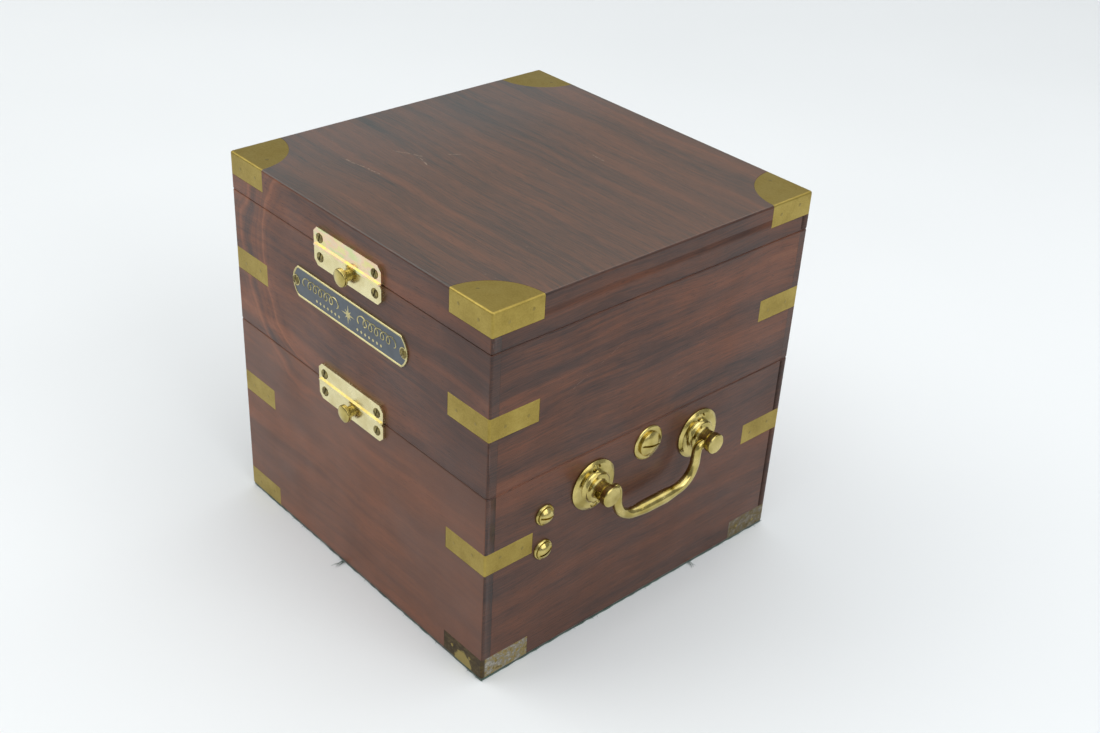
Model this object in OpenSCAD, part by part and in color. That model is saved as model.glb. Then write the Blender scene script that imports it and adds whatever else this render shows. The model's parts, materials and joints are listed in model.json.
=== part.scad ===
// Marine chronometer in a three-tier box, closed.
// Origin: middle of the baize's underside. +Z up, front towards -Y, right towards +X. Millimetres.

/* [Case] */
// Width and depth of the box
case_w = 190.5; // [188:0.5:196]
// Height of the top lid
lid_h = 19.05; // [17:0.05:22]
// Height of the glazed middle tier
middle_h = 69.85; // [69.5:0.05:76]
// Height of the base tier with its baize
base_h = 101.6; // [101.6:0.1:106]
// Thickness of the boards
wall = 11; // [10.5:0.5:12]
// Thickness of the corner lap that covers each side board's end
lap = 5; // [4:0.5:6]
// Thickness of the baize
felt_t = 1; // [0.6:0.1:2]

/* [Brass corners] */
// Length of each arm
arm = 27; // [22:0.5:30]
// Height of each strap and cap
strap_h = 11.4; // [9:0.1:12]
// Depth of each inlay
inlay = 1.2; // [0.8:0.1:1.8]

/* [Catches] */
// Width of the leaves
catch_w = 49.7; // [46:0.1:54]
// Height of each leaf
leaf_h = 9.4; // [9:0.1:10]
// Thickness of the leaves
leaf_t = 1.6; // [1.2:0.1:2]
// Travel of each push button
button_travel = 2; // [1:0.1:2]

/* [Handles] */
// Distance between the two posts of a handle
post_gap = 67; // [62:0.5:72]
// Height of the posts above the table
handle_z = 82.5; // [78:0.5:84]
// Diameter of a rosette
rosette_d = 25.6; // [24:0.2:28]
// Thickness of a bail's bar at its middle
bail_d = 6.6; // [5:0.2:7]

/* [Instrument] */
// Height of the gimbal axes above the table
gimbal_z = 91; // [90.5:0.5:92]
// Inner radius of the gimbal ring
ring_r = 68; // [67.5:0.5:69]
// Outer radius of the bowl
bowl_r = 56; // [55.5:0.5:56.5]
// Radius of the top plate of the movement
plate_r = 44; // [43.5:0.5:45]

/* [Hidden] */
$fn = 48;

half = case_w / 2;
inner = half - wall;
case_h = base_h + middle_h + lid_h;
lid_seam = base_h + middle_h;
seam_gap = 0.15;
glue = 0.05;
panel_t = 7;
bottom_t = 9;
middle_strap_z = base_h + 28.6;
base_strap_z = 60.6;

// window: a wooden frame, the glass on it, and beads that hold the glass
frame_w = 12;
frame_t = 4;
glass_t = 2;
glass_play = 0.4;
bead_w = 5;
bead_h = 3.5;
window_z = lid_seam - 11;

// catches
clip = 2.5;
notch = 0.9;
ridge = 0.8;
button_drop = 5;
stem_r = 2.5;
button_r = 4.25;
collar_r = 3.6;
collar_t = 1.2;
channel_r = 4;
channel_depth = 8.5;
button_out = 5;
tongue_x = 11;
tongue_w = 7;
tongue_drop = 3;
fit = 0.05;

// screws: countersunk heads with a slot
screw_head_r = 2.3;
screw_shank_r = 1.1;
screw_sink = 0.9;
screw_proud = 0.25;
screw_len = 7;
slot_w = 0.6;
catch_screw_x = 20.3;
catch_screw_z = 4.7;

// hinges
hinge_x = 45;
hinge_w = 38;
hinge_leaf_h = 9.6;
hinge_leaf_t = 1.5;
hinge_y = half + 2.4;
knuckle_r = 2.3;
pin_r = 1;
hinge_screw_x = 12;
hinge_screw_z = 5.8;

// nameplate
plate_w = 86.4;
plate_h = 15.8;
plate_t = 0.8;
plate_bulge = 4.3;
plate_x = -1.5;
plate_z = base_h + 44.4;
plate_pin_x = plate_w / 2 - 2.6;

// handles: distances stand out from the side of the case
rosette_t = 1.8;
boss_r = 8.2;
boss_t = 3.6;
post_r = 5;
post_len = 13;
bail_out = 8;
bail_pin_r = 2;
bail_neck_r = 2.3;
bail_neck_y = post_gap / 2 - 8;
bail_drop = 20.5;
bail_bend = 9;
handle_screw_z = 9.3;

// gimbal and bowl: heights are measured from the gimbal axes
ring_t = 4;
ring_h = 12;
bowl_t = 2.5;
bowl_top = 11;
bowl_side_z = -30;
bowl_corner = 18;
bowl_inner = bowl_r - bowl_t;
pivot_r = 2;
bowl_pivot_r = 1.8;
big_head_r = 6.3;
big_head_sink = 0.9;
big_head_dome = 2;
big_slot_w = 1.4;
big_washer_r = 8.8;
big_washer_t = 1;
big_shank_r = 3;

lock_y = -62.2;
lock_screw_z = [79, 60];
lock_washer_r = 5.2;
lock_head_r = 4.2;
lock_washer_t = 1.3;
lock_shank_r = 1.5;
lock_plate_t = 1.6;
lock_plate_w = 22;
lock_plate_y = -76;
lock_plate_low = 52;
lock_pivot = [76, -66];
lock_pin_r = 1.5;
lock_top_z = 88;
lock_shelf_t = 2;
lock_shelf_w = 16;
lock_arm_len = 21;
lock_arm_w = 6;
lock_arm_t = 2;
lock_eye_r = 4;

key_block = 16;
key_block_top = 72;
key_in = 8.25;
key_at = [key_in - inner, key_in - inner];
key_r = 3;
key_bottom_z = 46;
key_top_z = 98;
key_bow_r = 7;
key_bow_t = 3;
key_bow_hole_r = 3.4;
key_square = 3;

// movement: plan places of the arbors, seen from above
dial_z = 8;
dial_t = 1;
dial_r = bowl_r - 5.2;
glass_z = 15.5;
glass_r = bowl_r - 3.6;
glass_disc_t = 2.3;
bezel_low = 6;
bezel_top = 20;
bezel_edge = 2;
pillar_plate_z = 1;
top_plate_z = -16.5;
movement_plate_t = 2.5;
centre_at = [0, 0];
great_at = [-17.3, 10];
barrel_at = [20.8, 12];
third_at = [12, -16];
fourth_at = [0, -24];
escape_at = [-11, -20];
balance_at = [-16, -12];
up_down_at = [0, 22];
arbor_r = 0.8;
centre_arbor_r = 1;
fusee_arbor_r = 1.6;
pipe_r = 1.9;
tooth_gap = 0.12;
leaves = 10;
fusee_r = 12;
barrel_r = 13.5;
chain_z = -9;
winding_bottom_z = -44;
shutter_pivot = [-4, 18];
hand_t = 0.5;
hour_hand_z = 10.1;
minute_hand_z = 11;
small_hand_z = 9.2;
small_hand_t = 0.4;
small_hub_r = 1.5;

// ---- shared shapes ----

module four_corners() {
  for (x = [0, 1], y = [0, 1]) mirror([x, 0, 0]) mirror([0, y, 0]) children();
}

module both_sides() {
  for (x = [0, 1]) mirror([x, 0, 0]) children();
}

// turns a shape that points up so that it points out of the front, the back or the right side
module to_front(x, y, z) translate([x, y, z]) rotate([90, 0, 0]) children();
module to_back(x, y, z) translate([x, y, z]) rotate([-90, 0, 0]) children();
module to_right(x, y, z) translate([x, y, z]) rotate([0, 90, 0]) children();

module screw_solid(head_r, shank_r, sink, proud, len) {
  translate([0, 0, -sink]) cylinder(r = head_r, h = sink + proud);
  translate([0, 0, -len]) cylinder(r = shank_r, h = len);
}

module screw(head_r = screw_head_r, shank_r = screw_shank_r, sink = screw_sink, len = screw_len) {
  difference() {
    screw_solid(head_r, shank_r, sink, screw_proud, len);
    rotate([0, 0, 30 * head_r]) translate([-head_r - 1, -slot_w / 2, -sink / 2])
      cube([2 * head_r + 2, slot_w, sink + 1]);
  }
}

module screw_hole() screw_solid(screw_head_r + fit, screw_shank_r + fit, screw_sink, 1, screw_len);

// the front board is rebated at both ends, so its outer skin laps over the side boards
module front_board(z0, z1) {
  translate([0, 0, z0]) linear_extrude(z1 - z0) polygon([
    [-half, -half], [half, -half], [half, -half + lap], [inner - glue, -half + lap],
    [inner - glue, -inner], [glue - inner, -inner], [glue - inner, -half + lap], [-half, -half + lap]
  ]);
}

module side_board(z0, z1) {
  translate([inner, -half + lap + glue, z0]) cube([wall, case_w - 2 * (lap + glue), z1 - z0]);
}

module four_boards(z0, z1) {
  for (y = [0, 1]) mirror([0, y, 0]) front_board(z0, z1);
  both_sides() side_board(z0, z1);
}

module corner_arms(z0, h) {
  four_corners() translate([0, 0, z0]) linear_extrude(h) polygon([
    [half - arm, -half], [half, -half], [half, -half + arm], [half - inlay, -half + arm],
    [half - inlay, -half + inlay], [half - arm, -half + inlay]
  ]);
}

module corner_tops() {
  four_corners() intersection() {
    translate([half, -half, case_h - inlay]) cylinder(r = arm, h = inlay, $fn = 96);
    translate([half - arm, -half, case_h - inlay]) cube([arm, arm, inlay]);
  }
}

module cap_shapes() {
  corner_arms(case_h - strap_h, strap_h);
  corner_tops();
}

module rails(outer, width, z, h) {
  for (y = [0, 1]) mirror([0, y, 0]) translate([-outer, -outer, z]) cube([2 * outer, width, h]);
  both_sides() translate([outer - width, width + glue - outer, z])
    cube([width, 2 * (outer - width - glue), h]);
}

// a wire of radius r wound on radius coil_r, rising from z = 0 to height, with closed ends
module coil(coil_r, r, height, turns, per_turn = 14, sides = 6) {
  n = turns * per_turn;
  points = [for (i = [0:n], k = [0:sides - 1])
    let (a = 360 * i / per_turn, b = 360 * k / sides, d = coil_r + r * cos(b))
    [d * cos(a), d * sin(a), r + (height - 2 * r) * i / n + r * sin(b)]];
  skins = [for (i = [0:n - 1], k = [0:sides - 1])
    let (p = i * sides + k, q = i * sides + (k + 1) % sides)
    [p, p + sides, q + sides, q]];
  polyhedron(points, concat(
    skins, [[for (k = [0:sides - 1]) k]], [[for (k = [0:sides - 1]) n * sides + sides - 1 - k]]));
}

// ---- catches ----

module leaf_outline(up) {
  w = catch_w / 2;
  mirror([0, up ? 0 : 1, 0]) polygon([
    [-w + notch, seam_gap / 2], [w - notch, seam_gap / 2], [w, notch + seam_gap / 2], [w, leaf_h - clip],
    [w - clip, leaf_h], [-w + clip, leaf_h], [-w, leaf_h - clip], [-w, notch + seam_gap / 2]
  ]);
}

module leaf_screws(seam, up) {
  for (x = [-1, 1])
    to_front(x * catch_screw_x, -half - leaf_t, seam + (up ? 1 : -1) * catch_screw_z) children();
}

module tongues(seam, slack) {
  for (x = [-1, 1]) translate([x * tongue_x - tongue_w / 2 - slack, -half, seam - tongue_drop - slack])
    cube([tongue_w + 2 * slack, 2 + slack, 2 * tongue_drop + slack]);
}

module upper_leaf(seam) {
  lip = 1.2;
  difference() {
    union() {
      to_front(0, -half, seam) linear_extrude(leaf_t) leaf_outline(true);
      translate([-catch_w / 2 + notch, -half - leaf_t - ridge, seam + seam_gap / 2])
        cube([catch_w - 2 * notch, ridge + leaf_t / 2, lip]);
      tongues(seam, 0);
    }
    leaf_screws(seam, true) screw_hole();
    translate([-half, -half, seam - leaf_h]) cube([case_w, 0.3, leaf_h]);
  }
}

module lower_leaf(seam) {
  difference() {
    to_front(0, -half, seam) linear_extrude(leaf_t) leaf_outline(false);
    leaf_screws(seam, false) screw_hole();
    to_front(0, -half + 1, seam - button_drop) cylinder(r = stem_r + fit, h = leaf_t + 2);
  }
}

module catch_pockets(seam) {
  tongues(seam, 0.3);
  leaf_screws(seam, false) screw_hole();
  to_front(0, -half + channel_depth, seam - button_drop) cylinder(r = channel_r, h = channel_depth + 1);
}

module keeper_pockets(seam) {
  tongues(seam, 0);
  leaf_screws(seam, true) screw_hole();
}

// the knob has a domed end and a groove; its stem ends in a collar behind the leaf
module push_button(seam) {
  gap = button_travel + 0.3;
  dome = 1.4;
  to_front(0, -half, seam - button_drop) {
    translate([0, 0, -collar_t - 0.1]) cylinder(r = collar_r, h = collar_t);
    translate([0, 0, -collar_t]) cylinder(r = stem_r, h = collar_t + leaf_t + gap + 1);
    translate([0, 0, leaf_t + gap]) rotate_extrude() polygon([
      [0, 0], [button_r - 0.4, 0], [button_r, 0.4], [button_r, 0.7], [button_r - 0.4, 0.9], [button_r, 1.2],
      [button_r, button_out - gap - dome], [button_r * 0.7, button_out - gap - 0.4],
      [0, button_out - gap]
    ]);
  }
}

module button_spring(seam) {
  room = channel_depth - collar_t - 0.3;
  to_front(0, -half + channel_depth - 0.1, seam - button_drop) coil(2.9, 0.35, room, 5);
}

// ---- hinges ----

module hinge_leaf(seam, up) {
  side = up ? 1 : -1;
  knuckle_w = hinge_w / 3 - 0.1;
  low = up ? seam + seam_gap / 2 : seam - hinge_leaf_h;
  starts = up ? [-knuckle_w / 2] : [-hinge_w / 2, hinge_w / 2 - knuckle_w];
  for (x = [-1, 1]) translate([x * hinge_x, 0, 0]) difference() {
    union() {
      translate([-hinge_w / 2, half - hinge_leaf_t, low])
        cube([hinge_w, hinge_leaf_t, hinge_leaf_h - seam_gap / 2]);
      for (s = starts) {
        to_right(s, hinge_y, seam) cylinder(r = knuckle_r, h = knuckle_w);
        translate([s, half - hinge_leaf_t / 2, up ? seam + 0.2 : seam - 2.2])
          cube([knuckle_w, hinge_y - half + hinge_leaf_t / 2, 2]);
      }
    }
    to_right(-hinge_w, hinge_y, seam) cylinder(r = up ? pin_r + fit : pin_r, h = 2 * hinge_w);
    for (s = [-1, 0, 1])
      to_back(s * hinge_screw_x, half, seam + side * hinge_screw_z) screw_hole();
  }
}

module hinge_pins(seam) {
  for (x = [-1, 1])
    to_right(x * hinge_x - hinge_w / 2 - 0.6, hinge_y, seam) cylinder(r = pin_r, h = hinge_w + 1.2);
}

module hinge_pockets(seam, up) {
  low = up ? seam : seam - hinge_leaf_h;
  for (x = [-1, 1]) {
    translate([x * hinge_x - hinge_w / 2, half - hinge_leaf_t, low])
      cube([hinge_w, hinge_leaf_t + 1, hinge_leaf_h]);
  }
  hinge_screws(seam, up) screw_hole();
}

module hinge_screws(seam, up) {
  side = up ? 1 : -1;
  for (x = [-1, 1], s = [-1, 0, 1])
    to_back(x * hinge_x + s * hinge_screw_x, half, seam + side * hinge_screw_z) children();
}

// ---- lid ----

module lid_top_panel() color("sienna") difference() {
  translate([-half, -half, case_h - panel_t]) cube([case_w, case_w, panel_t]);
  cap_shapes();
}

module lid_boards() color("saddlebrown") difference() {
  four_boards(lid_seam + seam_gap / 2, case_h - panel_t);
  cap_shapes();
  keeper_pockets(lid_seam);
  hinge_pockets(lid_seam, true);
}

module lid_corner_caps() color("darkkhaki") cap_shapes();

module lid_catch_leaf() color("gold") upper_leaf(lid_seam);

module lid_screws() color("goldenrod") {
  leaf_screws(lid_seam, true) screw();
  hinge_screws(lid_seam, true) screw();
}

module lid_hinge_leaves() color("gold") hinge_leaf(lid_seam, true);

// ---- middle tier ----

module middle_boards() color("saddlebrown") difference() {
  four_boards(base_h + seam_gap / 2, lid_seam - seam_gap / 2);
  corner_arms(middle_strap_z, strap_h);
  catch_pockets(lid_seam);
  keeper_pockets(base_h);
  hinge_pockets(lid_seam, false);
  hinge_pockets(base_h, true);
  plate_pins() screw_hole();
}

module middle_corner_straps() color("darkkhaki") corner_arms(middle_strap_z, strap_h);

module window_frame() color("sienna") rails(inner, frame_w, window_z, frame_t);

module window_glass() color("lightcyan", 0.4)
  translate([glass_play - inner, glass_play - inner, window_z + frame_t])
    cube([2 * (inner - glass_play), 2 * (inner - glass_play), glass_t]);

module glass_beads() color("sienna") rails(inner, bead_w, window_z + frame_t + glass_t, bead_h);

module plate_pins() {
  for (x = [-1, 1]) to_front(plate_x + x * plate_pin_x, -half - plate_t, plate_z) children();
}

// each end of the plate is an arc that bulges past its corners
module nameplate() color("slategray") difference() {
  straight = plate_w / 2 - plate_bulge;
  end_r = (plate_h * plate_h / 4 + plate_bulge * plate_bulge) / (2 * plate_bulge);
  to_front(plate_x, -half, plate_z) linear_extrude(plate_t) union() {
    square([2 * straight, plate_h], center = true);
    for (x = [-1, 1]) intersection() {
      translate([x * (plate_w / 2 - end_r), 0]) circle(r = end_r, $fn = 96);
      translate([x * (plate_w / 2 - plate_bulge), 0]) square([2 * plate_bulge + 1, plate_h], center = true);
    }
  }
  plate_pins() screw_hole();
}

module middle_catch_leaves() color("gold") {
  lower_leaf(lid_seam);
  upper_leaf(base_h);
}

module middle_screws() color("goldenrod") {
  leaf_screws(lid_seam, false) screw();
  leaf_screws(base_h, true) screw();
  hinge_screws(lid_seam, false) screw();
  hinge_screws(base_h, true) screw();
  plate_pins() screw();
}

module middle_hinge_leaves() color("gold") {
  hinge_leaf(lid_seam, false);
  hinge_pins(lid_seam);
  hinge_leaf(base_h, true);
}

module upper_button() color("gold") push_button(lid_seam);

module upper_button_spring() color("silver") button_spring(lid_seam);

// ---- base tier ----

module base_boards() color("saddlebrown") difference() {
  four_boards(felt_t, base_h - seam_gap / 2);
  corner_arms(base_strap_z, strap_h);
  corner_arms(felt_t, strap_h);
  catch_pockets(base_h);
  hinge_pockets(base_h, false);
  both_sides() {
    to_right(inner - 1, 0, gimbal_z) cylinder(r = big_shank_r, h = wall + 2);
    handle_screws() screw_hole();
  }
  for (z = lock_screw_z) to_right(inner - 1, lock_y, z) cylinder(r = lock_shank_r, h = wall + 2);
}

module base_bottom_board() color("sienna")
  translate([glue - inner, glue - inner, felt_t]) cube([2 * (inner - glue), 2 * (inner - glue), bottom_t]);

module base_felt() color("darkgreen")
  translate([0.4 - half, 0.4 - half, 0]) cube([case_w - 0.8, case_w - 0.8, felt_t]);

module base_corner_straps() color("darkkhaki") {
  corner_arms(base_strap_z, strap_h);
  corner_arms(felt_t, strap_h);
}

module base_catch_leaf() color("gold") lower_leaf(base_h);

// screws of the lower catch, the hinges and the handles, and the gimbal lock's screws in cup washers
module base_screws() color("goldenrod") {
  leaf_screws(base_h, false) screw();
  hinge_screws(base_h, false) screw();
  both_sides() handle_screws() screw();
  for (z = lock_screw_z) to_right(half, lock_y, z) {
    difference() {
      cylinder(r1 = lock_washer_r, r2 = lock_head_r + 0.6, h = lock_washer_t);
      translate([0, 0, -1]) cylinder(r = lock_shank_r, h = 4);
      translate([0, 0, screw_sink - 0.4]) cylinder(r = lock_head_r, h = 3);
    }
    translate([0, 0, lock_washer_t + 0.1])
      screw(lock_head_r, lock_shank_r, screw_sink, wall + lock_plate_t + lock_washer_t + 0.1);
  }
}

module base_hinge_leaves() color("gold") {
  hinge_leaf(base_h, false);
  hinge_pins(base_h);
}

module lower_button() color("gold") push_button(base_h);

module lower_button_spring() color("silver") button_spring(base_h);

// ---- handles ----

module handle_screws() {
  for (y = [-1, 1], z = [-1, 1])
    to_right(half + rosette_t, y * post_gap / 2, handle_z + z * handle_screw_z) children();
}

// a flange with a bevelled step, and a waisted post whose bore takes the bail's end
module handle_rosettes() color("gold") both_sides() difference() {
  for (y = [-1, 1]) to_right(half, y * post_gap / 2, handle_z) rotate_extrude() polygon([
    [0, 0], [rosette_d / 2, 0], [rosette_d / 2, rosette_t * 0.6], [rosette_d / 2 - 1, rosette_t],
    [boss_r - 0.8, rosette_t], [boss_r - 1.6, boss_t], [post_r, boss_t], [post_r - 0.5, boss_t + 2],
    [post_r - 0.5, post_len - 4], [post_r, post_len - 3], [post_r, post_len - 0.5],
    [post_r - 0.5, post_len], [0, post_len]
  ]);
  translate([half + bail_out, -post_gap, handle_z]) rotate([-90, 0, 0])
    cylinder(r = bail_pin_r + fit, h = 2 * post_gap);
  handle_screws() screw_hole();
}

// a swan-neck bail: pins into the posts, thin necks, round bends and a bar that swells at the middle
module bail() {
  bend_y = bail_neck_y - bail_bend;
  for (s = [0, 1]) mirror([0, s, 0]) {
    translate([0, bail_neck_y, 0]) rotate([-90, 0, 0]) cylinder(r = bail_pin_r, h = 11);
    translate([0, bail_neck_y, 0]) sphere(r = bail_neck_r);
    translate([0, bail_neck_y, bail_bend - bail_drop])
      cylinder(r1 = bail_neck_r + 0.2, r2 = bail_neck_r, h = bail_drop - bail_bend);
    translate([0, bend_y, bail_bend - bail_drop]) rotate([0, 90, 0]) rotate_extrude(angle = 90)
      translate([bail_bend, 0]) circle(r = bail_neck_r + 0.2);
    translate([0, 0, -bail_drop]) rotate([-90, 0, 0])
      cylinder(r1 = bail_d / 2, r2 = bail_neck_r + 0.2, h = bend_y);
  }
}

module right_bail() color("gold") translate([half + bail_out, 0, handle_z]) bail();

module left_bail() color("gold") translate([-half - bail_out, 0, handle_z]) bail();

// ---- gimbal ----

module gimbal_pivot_screws() color("gold") both_sides() to_right(half, 0, gimbal_z) {
  difference() {
    cylinder(r1 = big_washer_r, r2 = big_washer_r - 0.5, h = big_washer_t);
    translate([0, 0, -1]) cylinder(r = big_shank_r, h = 3);
  }
  translate([0, 0, big_washer_t + big_head_sink]) difference() {
    union() {
      screw(big_head_r, big_shank_r, big_head_sink,
        half + big_washer_t + big_head_sink - ring_r - ring_t - 1.5);
      cylinder(r1 = big_head_r, r2 = big_head_r - 1.2, h = big_head_dome);
    }
    translate([-big_head_r - 1, -big_slot_w / 2, 0]) cube([2 * big_head_r + 2, big_slot_w, 3]);
  }
  translate([0, 0, ring_r + 1 - half]) cylinder(r = pivot_r, h = ring_t + 2);
}

module gimbal_ring() color("goldenrod") translate([0, 0, gimbal_z]) difference() {
  translate([0, 0, -ring_h / 2]) cylinder(r = ring_r + ring_t, h = ring_h, $fn = 96);
  translate([0, 0, -ring_h]) cylinder(r = ring_r, h = 2 * ring_h, $fn = 96);
  to_right(-half, 0, 0) cylinder(r = pivot_r + fit, h = case_w);
  translate([0, -half, 0]) rotate([-90, 0, 0]) cylinder(r = pivot_r, h = case_w);
}

module bowl_pivot_screws() color("gold") translate([0, 0, gimbal_z]) for (s = [0, 1])
  mirror([0, s, 0]) to_front(0, 0, 0) {
    translate([0, 0, ring_r + ring_t]) cylinder(r = 4, h = 2.4);
    translate([0, 0, ring_r]) cylinder(r = pivot_r, h = ring_t + 1);
    translate([0, 0, bowl_r - 1.6]) cylinder(r = bowl_pivot_r, h = ring_r - bowl_r + 2);
  }

module gimbal_lock_bracket() color("goldenrod") difference() {
  union() {
    translate([inner - lock_plate_t, lock_plate_y, lock_plate_low])
      cube([lock_plate_t, lock_plate_w, lock_top_z - lock_plate_low]);
    translate([lock_pivot[0] - 7, lock_pivot[1] - lock_shelf_w / 2, lock_top_z - lock_shelf_t])
      cube([inner - lock_pivot[0] + 7, lock_shelf_w, lock_shelf_t]);
    translate([lock_pivot[0], lock_pivot[1], lock_top_z - 1])
      cylinder(r = lock_pin_r, h = lock_arm_t + 2.5);
  }
  for (z = lock_screw_z)
    to_right(inner - 3, lock_y, z) cylinder(r = lock_shank_r, h = 6);
}

// the arm swings on the bracket's pin and carries a stud to push it by
module gimbal_lock_arm() color("gold")
  translate([lock_pivot[0], lock_pivot[1], lock_top_z + 0.1]) difference() {
    union() {
      cylinder(r = lock_eye_r, h = lock_arm_t);
      translate([-lock_arm_w / 2, 0, 0]) cube([lock_arm_w, lock_arm_len, lock_arm_t]);
      translate([0, lock_arm_len, 0]) cylinder(r = lock_arm_w / 2, h = lock_arm_t);
      translate([0, lock_arm_len - 4, 1]) cylinder(r = lock_arm_w / 2 - 0.5, h = 3 * lock_arm_t);
    }
    translate([0, 0, -1]) cylinder(r = lock_pin_r + fit, h = lock_arm_t + 3);
  }

module key_holder() color("sienna") difference() {
  translate([glue - inner, glue - inner, felt_t + bottom_t])
    cube([key_block, key_block, key_block_top - felt_t - bottom_t]);
  translate([key_at[0], key_at[1], key_bottom_z - 1]) cylinder(r = key_r + fit, h = key_block_top);
}

module winding_key() color("gold") translate([key_at[0], key_at[1], 0]) difference() {
  union() {
    translate([0, 0, key_bottom_z]) cylinder(r = key_r, h = key_top_z - key_bottom_z - 1.4 * key_bow_r);
    translate([0, key_bow_t / 2, key_top_z - key_bow_r]) rotate([90, 0, 0])
      cylinder(r = key_bow_r, h = key_bow_t);
  }
  translate([0, key_bow_t, key_top_z - key_bow_r + 0.5]) rotate([90, 0, 0])
    cylinder(r = key_bow_hole_r, h = 2 * key_bow_t);
  translate([-key_square / 2, -key_square / 2, key_bottom_z - 1]) cube([key_square, key_square, 12]);
}

// ---- bowl and dial: heights from the gimbal axes ----

module at_gimbal() translate([0, 0, gimbal_z]) children();

function angle_to(a, b) = atan2(b[1] - a[1], b[0] - a[0]);

module bowl_outline(r, corner, top) {
  union() {
    translate([0, bowl_side_z]) square([r, top - bowl_side_z]);
    translate([0, bowl_side_z - corner]) square([r - corner, corner + 1]);
    intersection() {
      translate([r - corner, bowl_side_z]) circle(r = corner, $fn = 96);
      translate([0, bowl_side_z - corner - 1]) square([r + 1, corner + 2]);
    }
  }
}

module bowl() color("gold") at_gimbal() difference() {
  rotate_extrude($fn = 96) bowl_outline(bowl_r, bowl_corner, bowl_top);
  rotate_extrude($fn = 96) bowl_outline(bowl_inner, bowl_corner - bowl_t, bowl_top + 1);
  translate([0, -half, 0]) rotate([-90, 0, 0]) cylinder(r = bowl_pivot_r + fit, h = case_w);
  translate([great_at[0], great_at[1], bowl_side_z - bowl_corner - 1]) cylinder(r = 4.5, h = 6);
  translate([shutter_pivot[0], shutter_pivot[1], bowl_side_z - bowl_corner - 1])
    cylinder(r = 1.5 + fit, h = 6);
}

// a cover that turns aside from the winding hole
module winding_shutter() color("goldenrod") at_gimbal()
  translate([0, 0, bowl_side_z - bowl_corner - 1.2]) {
    translate(great_at) cylinder(r = 6.2, h = 1);
    translate(shutter_pivot) cylinder(r = 4, h = 1);
    translate(shutter_pivot) cylinder(r = 1.5, h = 3.4);
    translate(shutter_pivot) rotate([0, 0, angle_to(shutter_pivot, great_at)])
      translate([0, -3.5, 0]) cube([15, 7, 1]);
  }

// a skirt inside the bowl's mouth, a rim over it and a groove that holds the glass
module bezel() color("gold") at_gimbal() rotate_extrude($fn = 96) polygon([
  [glass_r - 1.2, bezel_low], [bowl_inner - 0.1, bezel_low], [bowl_inner - 0.1, bowl_top],
  [bowl_r + bezel_edge, bowl_top], [bowl_r + bezel_edge, bezel_top - 2.5], [bowl_r, bezel_top],
  [glass_r - 2, bezel_top], [glass_r - 2, bezel_top - 2], [glass_r + 0.2, bezel_top - 2],
  [glass_r + 0.2, glass_z], [glass_r - 1.2, glass_z]
]);

module bezel_glass() color("lightcyan", 0.4) at_gimbal()
  translate([0, 0, glass_z]) cylinder(r = glass_r, h = glass_disc_t, $fn = 96);

module dial() color("whitesmoke") at_gimbal() difference() {
  union() {
    translate([0, 0, dial_z]) cylinder(r = dial_r, h = dial_t, $fn = 96);
    for (a = [30, 150, 270]) rotate([0, 0, a])
      translate([38, 0, pillar_plate_z + movement_plate_t]) cylinder(r = 1.5, h = 5);
  }
  translate([0, 0, 0]) cylinder(r = pipe_r + 0.4, h = 20);
  for (p = [fourth_at, up_down_at]) translate(p) cylinder(r = arbor_r + 0.4, h = 20);
}

// ---- movement ----

module plate_bores() {
  for (p = [great_at, third_at, fourth_at, escape_at, balance_at, barrel_at])
    translate([p[0], p[1], -60]) cylinder(r = arbor_r + fit, h = 80);
  translate([0, 0, -60]) cylinder(r = centre_arbor_r + fit, h = 80);
}

module pillar_plate() color("goldenrod") at_gimbal() difference() {
  translate([0, 0, pillar_plate_z]) cylinder(r = bowl_inner - 0.2, h = movement_plate_t, $fn = 96);
  plate_bores();
  translate([up_down_at[0], up_down_at[1], -1]) cylinder(r = arbor_r + fit, h = 9);
}

module top_plate() color("goldenrod") at_gimbal() difference() {
  translate([0, 0, top_plate_z]) cylinder(r = plate_r, h = movement_plate_t, $fn = 96);
  plate_bores();
  translate([great_at[0], great_at[1], top_plate_z - 1]) cylinder(r = fusee_arbor_r + fit, h = 5);
}

module movement_pillars() color("gold") at_gimbal() for (a = [90, 200, 270, 335]) rotate([0, 0, a])
  translate([plate_r - 5, 0, top_plate_z + movement_plate_t])
    cylinder(r = 2.8, h = pillar_plate_z - top_plate_z - movement_plate_t);

// a wheel with trapezoid teeth, crossed out into arms; its tips stay inside tip_r
module toothed(tip_r, teeth, t) {
  root_r = tip_r - 1.5 * tip_r / teeth;
  linear_extrude(t) polygon([for (i = [0:teeth - 1], k = [0:3])
    let (a = 360 * (i + [0.05, 0.2, 0.45, 0.6][k]) / teeth, r = k == 1 || k == 2 ? tip_r : root_r)
    [r * cos(a), r * sin(a)]]);
}

module crossed_wheel(tip_r, teeth, t, arms = 5) {
  hub = tip_r * 0.3;
  rim = tip_r * 0.8;
  difference() {
    toothed(tip_r, teeth, t);
    for (i = [0:arms - 1]) rotate([0, 0, 360 * i / arms]) translate([0, 0, -1])
      rotate_extrude(angle = 360 / arms - 16) translate([hub, 0]) square([rim - hub, t + 2]);
  }
}

module arbor(p, z0, z1, r = arbor_r) translate([p[0], p[1], z0]) cylinder(r = r, h = z1 - z0);

// wheel and pinion share the distance between two arbors in the ratio of their teeth
function mesh_r(a, b, teeth, other) = norm(a - b) * teeth / (teeth + other) - tooth_gap;

module pinion(p, r, z0, z1) translate([p[0], p[1], z0]) toothed(r, leaves, z1 - z0);

module centre_wheel() color("gold") at_gimbal() {
  translate([0, 0, -1]) crossed_wheel(mesh_r(centre_at, third_at, 80, leaves), 80, 1.2);
  pinion(centre_at, mesh_r(centre_at, great_at, leaves, 80), -4, -1);
  arbor(centre_at, top_plate_z, 11.6, centre_arbor_r);
}

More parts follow.
